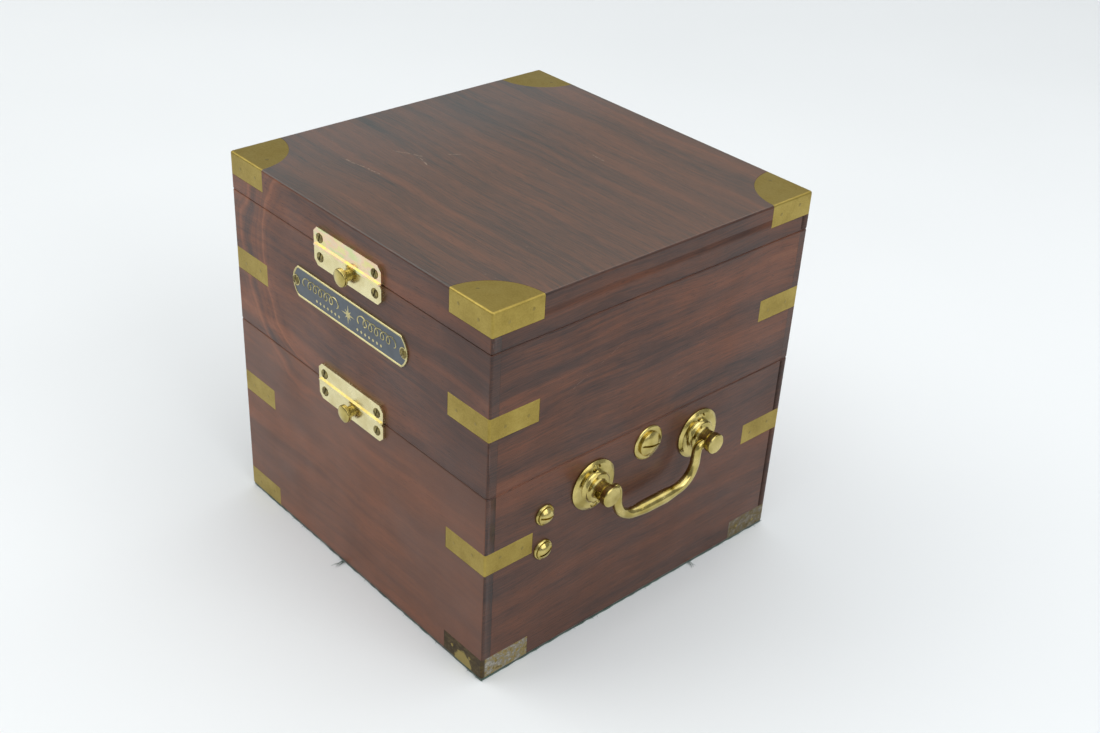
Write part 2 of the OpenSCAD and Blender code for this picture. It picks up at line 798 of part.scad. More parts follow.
module great_wheel() color("gold") at_gimbal() {
  tip_r = mesh_r(centre_at, great_at, 80, leaves);
  difference() {
    translate([great_at[0], great_at[1], -3.4]) crossed_wheel(tip_r, 80, 1.4);
    arbor(great_at, -5, 0, fusee_arbor_r + fit);
  }
}

module fusee() color("goldenrod") at_gimbal() {
  turns = 8;
  depth = 9;
  top = -3.7;
  translate(great_at) rotate_extrude() polygon(concat(
    [[0, top - depth], [0, top]],
    [for (i = [0:turns - 1], k = [0, 1])
      let (u = (i + 0.5 * k) / turns, r = fusee_r / (1 + 0.8 * u))
      [r - (k == 1 ? 0.5 : 0), top - depth * u]],
    [[fusee_r / 1.8, top - depth]]));
  arbor(great_at, winding_bottom_z + 6, top, fusee_arbor_r);
  arbor(great_at, top, pillar_plate_z + 2, arbor_r);
  translate([great_at[0] - 1.1, great_at[1] - 1.1, winding_bottom_z]) cube([2.2, 2.2, 7]);
}

module barrel() color("gold") at_gimbal() {
  translate([barrel_at[0], barrel_at[1], -13]) cylinder(r = barrel_r, h = 10);
  arbor(barrel_at, top_plate_z, pillar_plate_z + 2);
}

// the straight run of the chain on the outer tangent of fusee and barrel, as a row of links
module chain() color("silver") at_gimbal() {
  small = fusee_r / 1.35 + 0.9;
  big = barrel_r + 0.9;
  run = norm(barrel_at - great_at);
  lean = asin((big - small) / run);
  line = angle_to(great_at, barrel_at);
  len = run * cos(lean);
  links = 16;
  translate([great_at[0], great_at[1], chain_z]) rotate([0, 0, line + lean]) translate([0, small, 0])
    for (i = [0:links - 1])
      translate([len * i / links, 0, i % 2 * 0.4]) cube([len / links - 0.15, 0.6, 1.2]);
}

module third_wheel() color("gold") at_gimbal() {
  translate([third_at[0], third_at[1], -6]) crossed_wheel(mesh_r(third_at, fourth_at, 75, leaves), 75, 1);
  pinion(third_at, mesh_r(centre_at, third_at, leaves, 80), -5, 0.6);
  arbor(third_at, top_plate_z, pillar_plate_z + 2);
}

module fourth_wheel() color("gold") at_gimbal() {
  tip_r = mesh_r(fourth_at, escape_at, 80, leaves);
  translate([fourth_at[0], fourth_at[1], -9]) crossed_wheel(tip_r, 80, 1);
  pinion(fourth_at, mesh_r(third_at, fourth_at, leaves, 75), -8, -4.5);
  arbor(fourth_at, top_plate_z, 9.3);
}

// fifteen tall hooked teeth that the detent holds one at a time
module escape_wheel() color("gold") at_gimbal() {
  teeth = 15;
  tip = 7;
  root = 5.4;
  translate([escape_at[0], escape_at[1], -12.4]) difference() {
    linear_extrude(0.9) polygon([for (i = [0:teeth - 1], k = [0:2])
      let (a = 360 * (i + [0, 0.05, 0.6][k]) / teeth, r = k == 0 ? root : (k == 1 ? tip : root + 0.3))
      [r * cos(a), r * sin(a)]]);
    for (i = [0:3]) rotate([0, 0, 90 * i]) translate([0, 0, -1])
      rotate_extrude(angle = 68) translate([2, 0]) square([2.4, 3]);
  }
  pinion(escape_at, mesh_r(fourth_at, escape_at, leaves, 80), -11.6, -7.6);
  arbor(escape_at, top_plate_z, pillar_plate_z + 2);
}

// a foot on the top plate and the long blade that points at the balance staff
module detent() color("silver") at_gimbal() {
  foot = [-24, -26];
  translate([foot[0], foot[1], top_plate_z + movement_plate_t]) {
    cylinder(r = 2.4, h = 4);
    rotate([0, 0, angle_to(foot, balance_at)]) translate([0, -0.4, 1.6])
      cube([norm(balance_at - foot) - 2.8, 0.8, 1.2]);
  }
}

module balance() color("gold") at_gimbal() translate([balance_at[0], balance_at[1], 0]) {
  difference() {
    translate([0, 0, -25]) cylinder(r = 14, h = 2.4);
    translate([0, 0, -26]) cylinder(r = 12.2, h = 4);
  }
  translate([-12.8, -1.2, -24.6]) cube([25.6, 2.4, 1.4]);
  translate([0, 0, -25.2]) cylinder(r = 2.4, h = 3);
  translate([0, 0, -13]) cylinder(r = 2, h = 1.6);
  for (x = [-1, 1]) translate([0, x * 11.6, -24.9]) cylinder(r = 1.9, h = 2.2);
  translate([0, 0, -36.5]) cylinder(r = arbor_r, h = 39.5);
}

module balance_spring() color("midnightblue") at_gimbal()
  translate([balance_at[0], balance_at[1], -34.4]) coil(4.6, 0.3, 8.6, 9, 16);

module balance_cock() color("goldenrod") at_gimbal() {
  foot = [-31.6, -23.7];
  reach = norm(balance_at - foot);
  translate([foot[0], foot[1], -38]) difference() {
    union() {
      cylinder(r = 3.4, h = 38 + top_plate_z);
      rotate([0, 0, angle_to(foot, balance_at)]) {
        translate([0, -3, 0]) cube([reach, 6, 2.4]);
        translate([reach, 0, 0]) cylinder(r = 4, h = 2.4);
      }
    }
    rotate([0, 0, angle_to(foot, balance_at)])
      translate([reach, 0, -1]) cylinder(r = arbor_r + fit, h = 5);
  }
}

// ---- hands: each lies at rest on its own height ----

// a spade or straight hand that points along +Y, cut flat
module pointer(len, hub_r, width, t) {
  cylinder(r = hub_r, h = t);
  linear_extrude(t) polygon([
    [-width / 2, 0], [width / 2, 0], [width * 0.35, len * 0.62], [width * 0.9, len * 0.74],
    [0, len], [-width * 0.9, len * 0.74], [-width * 0.35, len * 0.62]
  ]);
}

module hour_hand() color("midnightblue") at_gimbal() difference() {
  union() {
    translate([0, 0, hour_hand_z]) rotate([0, 0, 60]) pointer(26, 3, 2, hand_t);
    translate([0, 0, 4]) cylinder(r = pipe_r, h = 6.4);
  }
  translate([0, 0, 3]) cylinder(r = centre_arbor_r + fit, h = 10);
}

module minute_hand() color("midnightblue") at_gimbal() difference() {
  translate([0, 0, minute_hand_z]) rotate([0, 0, -60]) pointer(42, 2.6, 1.8, hand_t);
  translate([0, 0, 10]) cylinder(r = centre_arbor_r, h = 3);
}

module seconds_hand() color("midnightblue") at_gimbal()
  translate([fourth_at[0], fourth_at[1], small_hand_z]) difference() {
    union() {
      cylinder(r = small_hub_r, h = small_hand_t);
      translate([-0.25, -4, 0]) cube([0.5, 14.5, small_hand_t]);
    }
    translate([0, 0, -1]) cylinder(r = arbor_r, h = 3);
  }

module up_down_hand() color("midnightblue") at_gimbal()
  translate([up_down_at[0], up_down_at[1], small_hand_z]) {
    cylinder(r = small_hub_r, h = small_hand_t);
    rotate([0, 0, 135]) translate([-0.3, 0, 0]) cube([0.6, 9, small_hand_t]);
    translate([0, 0, -8]) cylinder(r = arbor_r, h = 8.2);
  }

lid_top_panel();
lid_boards();
lid_corner_caps();
lid_catch_leaf();
lid_screws();
lid_hinge_leaves();
middle_boards();
middle_corner_straps();
window_frame();
window_glass();
glass_beads();
nameplate();
middle_catch_leaves();
middle_screws();
middle_hinge_leaves();
upper_button();
upper_button_spring();
base_boards();
base_bottom_board();
base_felt();
base_corner_straps();
base_catch_leaf();
base_screws();
base_hinge_leaves();
lower_button();
lower_button_spring();
handle_rosettes();
right_bail();
left_bail();
gimbal_pivot_screws();
gimbal_lock_bracket();
gimbal_lock_arm();
key_holder();
winding_key();
gimbal_ring();
bowl_pivot_screws();
bowl();
bezel();
bezel_glass();
dial();
winding_shutter();
pillar_plate();
top_plate();
movement_pillars();
great_wheel();
fusee();
chain();
barrel();
centre_wheel();
third_wheel();
fourth_wheel();
escape_wheel();
detent();
balance();
balance_spring();
balance_cock();
hour_hand();
minute_hand();
seconds_hand();
up_down_hand();
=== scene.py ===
# Looks of a marine chronometer in its closed three-tier box. Metres, in the CAD model's frame.
import json
import math
import random

import bmesh
import bpy
from mathutils import Matrix, Vector

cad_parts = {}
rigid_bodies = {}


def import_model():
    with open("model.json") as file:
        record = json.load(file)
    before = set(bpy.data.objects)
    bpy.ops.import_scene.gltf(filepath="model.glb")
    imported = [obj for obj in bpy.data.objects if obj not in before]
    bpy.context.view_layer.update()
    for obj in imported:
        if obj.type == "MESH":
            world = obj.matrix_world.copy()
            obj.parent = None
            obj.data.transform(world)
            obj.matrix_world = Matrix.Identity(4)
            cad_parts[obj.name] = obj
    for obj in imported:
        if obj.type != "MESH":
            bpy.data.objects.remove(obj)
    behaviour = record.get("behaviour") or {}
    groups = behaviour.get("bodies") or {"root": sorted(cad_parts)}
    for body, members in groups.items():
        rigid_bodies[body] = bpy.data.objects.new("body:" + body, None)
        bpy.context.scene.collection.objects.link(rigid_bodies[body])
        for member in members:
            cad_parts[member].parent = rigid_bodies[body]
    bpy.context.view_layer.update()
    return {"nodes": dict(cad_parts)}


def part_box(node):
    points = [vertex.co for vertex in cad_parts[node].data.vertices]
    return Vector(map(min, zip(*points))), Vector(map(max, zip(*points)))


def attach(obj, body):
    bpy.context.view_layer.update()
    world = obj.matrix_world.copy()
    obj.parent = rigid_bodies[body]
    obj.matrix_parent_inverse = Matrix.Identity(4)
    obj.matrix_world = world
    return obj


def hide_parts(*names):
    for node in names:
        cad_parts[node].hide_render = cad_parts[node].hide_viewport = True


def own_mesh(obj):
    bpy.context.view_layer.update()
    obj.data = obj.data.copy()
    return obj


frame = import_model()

dice = random.Random(1875)

# ---- places, from the CAD model ----

MM = 0.001
WELD = 2e-6
NEAR = 2e-5

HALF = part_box("lid_top_panel")[1].x
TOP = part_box("lid_top_panel")[1].z
LID_SEAM = (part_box("lid_boards")[0].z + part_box("middle_boards")[1].z) / 2
BASE_SEAM = (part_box("middle_boards")[0].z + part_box("base_boards")[1].z) / 2
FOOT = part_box("base_boards")[0].z
LAP = 5 * MM
HANDLE_Z = (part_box("handle_rosettes")[0].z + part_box("handle_rosettes")[1].z) / 2
ROSETTE_R = (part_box("handle_rosettes")[1].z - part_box("handle_rosettes")[0].z) / 2
POST_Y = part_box("handle_rosettes")[1].y - ROSETTE_R
BAIL_OUT = 8 * MM

BODY_OF = {name: node.parent.name.removeprefix("body:") for name, node in frame["nodes"].items()}

# ---- small tools for materials ----


class Tree:
    """Writes the nodes of one material. A socket or a plain value can be given for any input."""

    def __init__(self, name):
        self.material = bpy.data.materials.new(name)
        self.material.use_nodes = True
        self.nodes = self.material.node_tree.nodes
        self.nodes.clear()
        self.place = self.node("TexCoord").outputs["Object"]
        self.parts = self.node("SeparateXYZ", [self.place])

    def node(self, kind, inputs=(), **settings):
        made = self.nodes.new("ShaderNode" + kind)
        for key, value in settings.items():
            setattr(made, key, value)
        pairs = inputs.items() if isinstance(inputs, dict) else enumerate(inputs)
        for key, value in pairs:
            self.feed(made.inputs[key], value)
        return made

    def feed(self, socket, value):
        if isinstance(value, bpy.types.NodeSocket):
            self.material.node_tree.links.new(value, socket)
        elif value is not None:
            socket.default_value = value

    def maths(self, operation, *values):
        return self.node("Math", values, operation=operation).outputs[0]

    def times(self, a, b):
        return self.maths("MULTIPLY", a, b)

    def plus(self, a, b):
        return self.maths("ADD", a, b)

    def minus(self, a, b):
        return self.maths("SUBTRACT", a, b)

    def axis(self, letter, scale=1 / MM):
        return self.times(self.parts.outputs["XYZ".index(letter)], scale)

    def vector(self, x, y, z):
        return self.node("CombineXYZ", [x, y, z]).outputs[0]

    def stretched(self, x, y, z):
        """Object coordinates in millimetres, divided by a length along each axis."""
        scale = (1 / (x * MM), 1 / (y * MM), 1 / (z * MM))
        return self.node("Mapping", {"Vector": self.place, "Scale": scale}).outputs[0]

    def noise(self, vector, detail=3, roughness=0.5, distortion=0):
        inputs = {"Vector": vector, "Scale": 1, "Detail": detail}
        inputs.update({"Roughness": roughness, "Distortion": distortion})
        return self.node("TexNoise", inputs).outputs["Fac"]

    def cloud(self, size, *detail):
        """Noise of one size in millimetres all ways; detail, roughness and distortion may follow."""
        return self.noise(self.stretched(size, size, size), *detail)

    def cells(self, vector):
        """Distance to the nearest of many scattered points."""
        return self.node("TexVoronoi", {"Vector": vector, "Scale": 1}, feature="F1").outputs["Distance"]

    def fade(self, value, low, high, to_low=0, to_high=1):
        inputs = [value, low, high, to_low, to_high]
        return self.node("MapRange", inputs, interpolation_type="SMOOTHSTEP").outputs[0]

    def ramp(self, factor, *stops):
        made = self.node("ValToRGB", [factor])
        line = made.color_ramp.elements
        while len(line) < len(stops):
            line.new(0.5)
        for element, (position, colour) in zip(line, stops):
            element.position = position
        for element, (position, colour) in zip(line, stops):
            element.color = (*colour, 1)
        return made.outputs["Color"]

    def mix(self, factor, a, b, how="MIX"):
        a = a if isinstance(a, bpy.types.NodeSocket) else (*a, 1)
        b = b if isinstance(b, bpy.types.NodeSocket) else (*b, 1)
        made = self.node("Mix", {0: factor, 6: a, 7: b}, data_type="RGBA", blend_type=how)
        return made.outputs[2]

    def bump(self, height, distance, strength):
        inputs = {"Strength": strength, "Distance": distance * MM, "Height": height}
        return self.node("Bump", inputs).outputs[0]

    def distance(self, point, flat=None):
        """Millimetres from a point given in millimetres; flat leaves one axis out."""
        total = 0
        for letter, value in zip("XYZ", point):
            if letter == flat:
                continue
            step = self.minus(self.axis(letter), value)
            total = self.plus(self.times(step, step), total)
        return self.maths("SQRT", total)

    def shader(self, **inputs):
        named = {key.replace("_", " "): value for key, value in inputs.items()}
        surface = self.node("BsdfPrincipled", named)
        out = self.node("OutputMaterial", [surface.outputs[0]])
        out.is_active_output = True
        return self.material


# ---- wood ----

DARK = (0.030, 0.019, 0.016)
PLUM = (0.062, 0.029, 0.021)
BROWN = (0.108, 0.042, 0.023)
RUST = (0.165, 0.056, 0.026)
AMBER = (0.24, 0.088, 0.040)


def grain(tree, along, across, depth):
    """Streak and fibre patterns that run along one axis and wander a little."""
    a, c, d = tree.axis(along), tree.axis(across), tree.axis(depth)
    slow = tree.noise(tree.vector(tree.times(a, 1 / 90), tree.times(c, 1 / 60), 0), 1)
    wander = tree.times(tree.minus(slow, 0.5), 12)
    c = tree.plus(c, wander)

    def layer(length, width, deep, detail, roughness=0.55):
        spot = tree.vector(
            tree.times(a, 1 / length),
            tree.times(c, 1 / width),
            tree.times(d, 1 / deep),
        )
        return tree.noise(spot, detail, roughness)

    return layer


def mix_layers(tree, *weighted):
    total = 0
    for value, weight in weighted:
        total = tree.plus(tree.times(value, weight), total)
    return total


def cathedral(tree, value, centre, radius):
    """Bends the rings of the growth round a centre, in x and z, so that they show as nested arcs."""
    u = tree.minus(tree.axis("X"), centre[0])
    v = tree.minus(tree.axis("Z"), centre[1])
    v = tree.times(v, 0.86)
    square = tree.plus(tree.times(u, u), tree.times(v, v))
    shake = tree.times(tree.cloud(30, 2), 16)
    reach = tree.plus(tree.maths("SQRT", square), shake)
    rings = tree.noise(tree.vector(tree.times(reach, 1 / 5.5), 0, 0), 3, 0.6)
    starts = tree.fade(reach, radius - 8, radius + 4)
    ends = tree.fade(reach, radius + 14, radius + 30, 1, 0)
    left = tree.fade(u, -8, 12, 1, 0)
    there = tree.times(tree.times(starts, ends), left)
    gap = tree.times(tree.minus(rings, 0.46), tree.times(there, 0.85))
    return tree.plus(value, gap)


def mahogany(name, along, across, depth, loops=None, contrast=1.0, shade=1.0, calm=None, gloss=0.3,
             patchy=0.25):
    """French polished mahogany. calm = a height in millimetres below which the streaks are weaker."""
    tree = Tree(name)
    layer = grain(tree, along, across, depth)
    broad = layer(260, 13, 50, 2, 0.5)
    streak = layer(170, 2.8, 30, 3, 0.5)
    line = layer(60, 0.75, 8, 4)
    fibre = layer(9, 0.28, 2, 3)
    mottle = layer(34, 17, 26, 3, 0.62)
    value = mix_layers(
        tree, (broad, 0.40), (streak, 0.16), (line, 0.44 - patchy), (mottle, patchy)
    )
    spread = tree.minus(value, 0.5)
    if calm:
        strength = tree.fade(tree.axis("Z"), calm - 6, calm + 2, 0.55 * contrast, contrast)
        spread = tree.times(spread, strength)
    else:
        spread = tree.times(spread, contrast)
    value = tree.plus(spread, 0.5)
    if loops:
        value = cathedral(tree, value, *loops)
    stops = [(0.36, DARK), (0.45, PLUM), (0.515, BROWN), (0.59, RUST), (0.70, AMBER)]
    # shade scales the whole palette; the front, side and top woods use it for painted light and shade on each
    # face.
    stops = [(place, tuple(shade * channel for channel in colour)) for place, colour in stops]
    colour = tree.ramp(value, *stops)
    pore_line = layer(4.5, 0.20, 0.35, 2, 0.4)
    pores = tree.fade(pore_line, 0.60, 0.68)
    colour = tree.mix(tree.times(pores, 0.75), colour, tuple(0.5 * channel for channel in DARK))
    colour = tree.mix(tree.fade(fibre, 0.35, 0.7, 0, 0.22), colour, tuple(1.5 * c for c in RUST))
    rough = tree.fade(tree.cloud(40, 4), 0.3, 0.7, 0.36, 0.52)
    height = mix_layers(tree, (pores, -0.6), (fibre, 0.4), (line, 0.3))
    normal = tree.bump(height, 0.035, 0.55)
    coat_normal = tree.bump(mix_layers(tree, (pores, -0.5), (line, 0.4)), 0.02, 0.25)
    return tree, dict(
        Base_Color=colour, Roughness=rough, Normal=normal, Coat_Weight=gloss, Coat_Roughness=0.16,
        Coat_Normal=coat_normal, Specular_IOR_Level=0.28,
    )


def front_wood():
    """The front boards: nested arcs round a knot at the left, and a darker right end."""
    # shade 1.18 is painted light: the front boards are made lighter, as the face that the key light falls on.
    tree, look = mahogany(
        "mahogany_front", "X", "Z", "Y", ((-34, 148), 44), 0.95, 1.18, gloss=0.14, patchy=0.30,
    )
    right = tree.fade(tree.axis("X"), 20, 85, 0, 0.42)
    look["Base_Color"] = tree.mix(right, look["Base_Color"], PLUM)
    low = tree.fade(tree.axis("Z"), BASE_SEAM / MM - 1, BASE_SEAM / MM + 1, 0.32, 0)
    look["Base_Color"] = tree.mix(low, look["Base_Color"], AMBER)
    return tree.shader(**look)


def side_wood():
    """The side boards, calmer on the base and darker on the lid, with a few faint scratches."""
    # shade 0.74 is painted shade: the side boards are made darker, as faces turned from the key light.
    tree, look = mahogany(
        "mahogany_side", "Y", "Z", "X", contrast=1.25, shade=0.74, calm=BASE_SEAM / MM, gloss=0.14,
    )
    lid = tree.fade(tree.axis("Z"), LID_SEAM / MM - 1, LID_SEAM / MM + 1, 0, 0.24)
    look["Base_Color"] = tree.mix(lid, look["Base_Color"], DARK)
    marks = 0
    for start, turn, length in [((-52, 138), 0.42, 34), ((8, 120), 0.2, 12), ((-20, 60), -0.5, 9)]:
        marks = tree.maths("MAXIMUM", scratch(tree, start, turn, length, 0.22, "YZ"), marks)
    marks = tree.times(marks, 0.3)
    look["Base_Color"] = tree.mix(marks, look["Base_Color"], (0.26, 0.16, 0.11))
    return tree.shader(**look)


def scratch(tree, start, turn, length, width, axes="XY"):
    """1 along a fine scratch in the plane of two axes, from a point in millimetres, wavering a little."""
    x = tree.minus(tree.axis(axes[0]), start[0])
    y = tree.minus(tree.axis(axes[1]), start[1])
    c, s = math.cos(turn), math.sin(turn)
    along = tree.plus(tree.times(x, c), tree.times(y, s))
    across = tree.minus(tree.times(y, c), tree.times(x, s))
    waver = tree.times(tree.minus(tree.cloud(6, 1), 0.5), 1.6)
    off = tree.maths("ABSOLUTE", tree.plus(across, waver))
    line = tree.fade(off, width * 0.4, width, 1, 0)
    inside = tree.times(tree.fade(along, 0, 1), tree.fade(along, length - 1, length, 1, 0))
    broken = tree.fade(tree.cloud(1.2, 2), 0.42, 0.52)
    return tree.times(tree.times(line, inside), broken)


def top_wood():
    """The lid's top, with a painted grey-blue sheen of reflected light added to its colour, more so at the
    left, and fine scratches in its middle.
    """
    # shade 0.68 is painted shade: the top is made darker, set against the overhead light that falls on it.
    tree, look = mahogany("mahogany_top", "X", "Y", "Z", contrast=0.8, shade=0.68, gloss=0.3, patchy=0.10)
    # Painted sheen: a grey-blue haze of reflected light is added to the top's colour, stronger towards the
    # left.
    wear_and_sheen = tree.fade(tree.axis("X"), -90, 0, 1, 0)
    painted_sheen = tree.mix(wear_and_sheen, (0.022, 0.030, 0.026), (0.020, 0.046, 0.048))
    look["Base_Color"] = tree.mix(1.0, look["Base_Color"], painted_sheen, "ADD")
    marks = 0
    for start, turn, length in [((-52, -34), 0.5, 16), ((-40, -28), -0.3, 12), ((-58, -58), 0.15, 26),
                                ((6, 40), -0.1, 9), ((-34, -16), 0.9, 7)]:
        marks = tree.maths("MAXIMUM", scratch(tree, start, turn, length, 0.35), marks)
    specks = tree.fade(tree.cells(tree.stretched(9, 9, 9)), 0.03, 0.05, 1, 0)
    marks = tree.maths("MAXIMUM", marks, tree.times(specks, 0.35))
    look["Base_Color"] = tree.mix(marks, look["Base_Color"], (0.24, 0.17, 0.12))
    return tree.shader(**look)


def end_wood():
    tree, look = mahogany("mahogany_end_grain", "Y", "Z", "X", contrast=0.7, shade=0.42)
    dots = tree.fade(tree.cells(tree.stretched(0.5, 0.5, 0.5)), 0.15, 0.3)
    look["Base_Color"] = tree.mix(dots, tuple(0.4 * c for c in DARK), look["Base_Color"])
    return tree.shader(**look)


def inner_wood(along, across, depth):
    tree, look = mahogany("mahogany_inside_" + along.lower(), along, across, depth, contrast=0.8, shade=1.25)
    return tree.shader(**look)


# ---- metals ----


def fine_scratches(tree, long, short):
    a = tree.noise(tree.stretched(long, short, short), 2)
    b = tree.noise(tree.stretched(short, long, long), 2)
    return mix_layers(tree, (a, 0.5), (b, 0.5))


def inlaid_brass():
    """Satin brass, let into the wood and rubbed down with it, with a dull olive patina."""
    tree = Tree("inlaid_brass")
    cloud = tree.cloud(14, 4, 0.6)
    grit = tree.noise(tree.stretched(0.927, 0.900, 0.774), 3, 0.7)
    value = mix_layers(tree, (cloud, 0.6), (grit, 0.4))
    colour = tree.ramp(
        value, (0.3, (0.268, 0.195, 0.041)), (0.5, (0.366, 0.270, 0.062)), (0.7, (0.443, 0.335, 0.086)),
    )
    spots = tree.fade(tree.cloud(1.6, 4, 0.7), 0.68, 0.74)
    colour = tree.mix(tree.times(spots, 0.6), colour, (0.134, 0.085, 0.026))
    rough = tree.fade(value, 0.35, 0.65, 0.46, 0.36)
    scratches = fine_scratches(tree, 18, 0.22)
    return tree.shader(
        Base_Color=colour, Metallic=0.92, Roughness=rough, Normal=tree.bump(scratches, 0.02, 0.35)
    )


def tarnished_brass():
    """Brass by the floor: grey and gold in patches at the sides, dark brown at the front but for one
    rubbed spot on each arm, and dark again towards the back."""
    tree = Tree("tarnished_brass")
    cloud = tree.noise(tree.stretched(5, 4, 3), 5, 0.7, 0.4)
    fine = tree.cloud(1.4, 3, 0.7)
    value = mix_layers(tree, (cloud, 0.72), (fine, 0.28))
    patchy = tree.ramp(
        value, (0.38, (0.12, 0.085, 0.035)), (0.46, (0.34, 0.26, 0.09)), (0.52, (0.25, 0.23, 0.19)),
        (0.58, (0.42, 0.40, 0.36)), (0.66, (0.46, 0.35, 0.12)),
    )
    brown = tree.ramp(value, (0.40, (0.050, 0.032, 0.016)), (0.60, (0.12, 0.085, 0.035)))
    rubbed = tree.distance((HALF / MM - 13, 0, 2.5), flat="Y")
    rubbed = tree.plus(rubbed, tree.times(cloud, 6))
    spot = tree.fade(rubbed, 8.2, 9.4, 1, 0)
    brown = tree.mix(spot, brown, (0.36, 0.28, 0.09))
    front = tree.fade(tree.axis("Y"), 1.5 - HALF / MM, 2.5 - HALF / MM, 1, 0)
    back = tree.fade(tree.axis("Y"), 40, 60, 0, 0.6)
    colour = tree.mix(tree.maths("MAXIMUM", front, back), patchy, brown)
    rough = tree.fade(value, 0.40, 0.62, 0.62, 0.40)
    metal = tree.fade(value, 0.38, 0.56, 0.45, 0.95)
    return tree.shader(
        Base_Color=colour, Metallic=metal, Roughness=rough, Normal=tree.bump(cloud, 0.25, 0.5)
    )


PALE_BRASS = ((0.66, 0.57, 0.29), (0.80, 0.72, 0.42))
GOLDEN_BRASS = ((0.38, 0.30, 0.085), (0.62, 0.51, 0.19))
DULL_BRASS = ((0.50, 0.43, 0.20), (0.62, 0.55, 0.28))


def polished_brass(name="polished_brass", tints=PALE_BRASS, base_rough=0.10, film=0.0):
    """Bright lacquered brass between two tints. film adds a thin rainbow of heat colour."""
    tree = Tree(name)
    cloud = tree.cloud(8, 4)
    colour = tree.ramp(cloud, (0.35, tints[0]), (0.65, tints[1]))
    if film:
        hue = tree.noise(tree.stretched(9, 9, 3.4), 2)
        rainbow = tree.ramp(
            hue, (0.38, (0.78, 0.72, 0.30)), (0.46, (0.88, 0.56, 0.42)), (0.54, (0.82, 0.62, 0.50)),
            (0.62, (0.60, 0.70, 0.34)),
        )
        colour = tree.mix(film, colour, rainbow)
    grit = tree.cloud(1.1, 3, 0.7)
    rough = tree.fade(mix_layers(tree, (cloud, 0.5), (grit, 0.5)), 0.35, 0.65, base_rough, base_rough + 0.14)
    normal = tree.bump(fine_scratches(tree, 9, 0.3), 0.006, 0.3)
    return tree.shader(Base_Color=colour, Metallic=1.0, Roughness=rough, Normal=normal)


def dark_brass():
    """Old screw heads, brown in their slots and rubbed on top."""
    tree = Tree("brass_screws")
    cloud = tree.cloud(1.6, 3, 0.6)
    colour = tree.ramp(cloud, (0.35, (0.09, 0.065, 0.02)), (0.65, (0.30, 0.24, 0.07)))
    return tree.shader(
        Base_Color=colour, Metallic=0.95, Roughness=tree.fade(cloud, 0.3, 0.7, 0.46, 0.26),
        Normal=tree.bump(cloud, 0.02, 0.5),
    )


def movement_brass(name="movement_brass", spotted=False):
    """Gilt brass of the movement. The plates are spotted with overlapping swirls."""
    tree = Tree(name)
    cloud = tree.cloud(12, 3)
    colour = tree.ramp(cloud, (0.35, (0.62, 0.46, 0.17)), (0.65, (0.80, 0.63, 0.28)))
    if spotted:
        swirl = tree.cells(tree.stretched(3.2, 3.2, 30))
        rings = tree.maths("SINE", tree.times(swirl, 34))
        normal = tree.bump(rings, 0.02, 0.35)
        rough = tree.fade(rings, -1, 1, 0.22, 0.34)
    else:
        normal = tree.bump(fine_scratches(tree, 6, 0.2), 0.008, 0.4)
        rough = tree.fade(cloud, 0.35, 0.65, 0.20, 0.32)
    return tree.shader(Base_Color=colour, Metallic=1.0, Roughness=rough, Normal=normal)


def turned_brass():
    """Lacquered brass with the fine rings that a lathe leaves round an upright axis."""
    tree = Tree("turned_brass")
    reach = tree.distance((0, 0, 0), flat="Z")
    rings = tree.noise(tree.vector(tree.times(reach, 4), tree.axis("Z", 1800), 0), 2)
    cloud = tree.cloud(22, 3)
    colour = tree.ramp(cloud, (0.35, (0.66, 0.50, 0.19)), (0.65, (0.82, 0.67, 0.30)))
    return tree.shader(
        Base_Color=colour, Metallic=1.0, Roughness=tree.fade(cloud, 0.35, 0.65, 0.18, 0.30),
        Normal=tree.bump(rings, 0.01, 0.35),
    )


def steel(name, light, dark, roughness):
    tree = Tree(name)
    cloud = tree.cloud(3, 3)
    colour = tree.ramp(cloud, (0.35, dark), (0.65, light))
    return tree.shader(
        Base_Color=colour, Metallic=1.0, Roughness=tree.fade(cloud, 0.3, 0.7, roughness, roughness + 0.12),
        Normal=tree.bump(fine_scratches(tree, 5, 0.15), 0.005, 0.4),
    )


# ---- other materials ----


def silvered():
    """The dial: silvered brass, grained in fine circles and faintly yellowed at the rim."""
    tree = Tree("silvered_dial")
    reach = tree.distance((0, 0, 0), flat="Z")
    rings = tree.noise(tree.vector(tree.times(reach, 6), 0, 0), 3)
    cloud = tree.cloud(16, 4, 0.6)
    colour = tree.ramp(cloud, (0.35, (0.66, 0.64, 0.57)), (0.65, (0.78, 0.77, 0.72)))
    colour = tree.mix(tree.fade(reach, 40, 51, 0, 0.3), colour, (0.62, 0.55, 0.38))
    return tree.shader(
        Base_Color=colour, Metallic=0.75, Roughness=tree.fade(rings, 0.3, 0.7, 0.32, 0.44),
        Normal=tree.bump(rings, 0.006, 0.4),
    )


def ink(name, colour):
    tree = Tree(name)
    cloud = tree.cloud(1.5, 2)
    shade = tree.ramp(cloud, (0.3, colour), (0.7, tuple(1.6 * c + 0.004 for c in colour)))
    return tree.shader(Base_Color=shade, Roughness=0.42, Normal=tree.bump(cloud, 0.01, 0.3))


def enamel():
    """Slate blue enamel of the nameplate, gone a little grey with wear."""
    tree = Tree("nameplate_enamel")
    cloud = tree.noise(tree.stretched(7, 7, 5), 4, 0.6)
    colour = tree.ramp(cloud, (0.35, (0.030, 0.045, 0.062)), (0.65, (0.062, 0.082, 0.105)))
    grit = tree.cloud(0.4, 2)
    return tree.shader(
        Base_Color=colour, Roughness=tree.fade(cloud, 0.3, 0.7, 0.30, 0.45), Coat_Weight=0.25,
        Coat_Roughness=0.2, Normal=tree.bump(grit, 0.02, 0.3),
    )


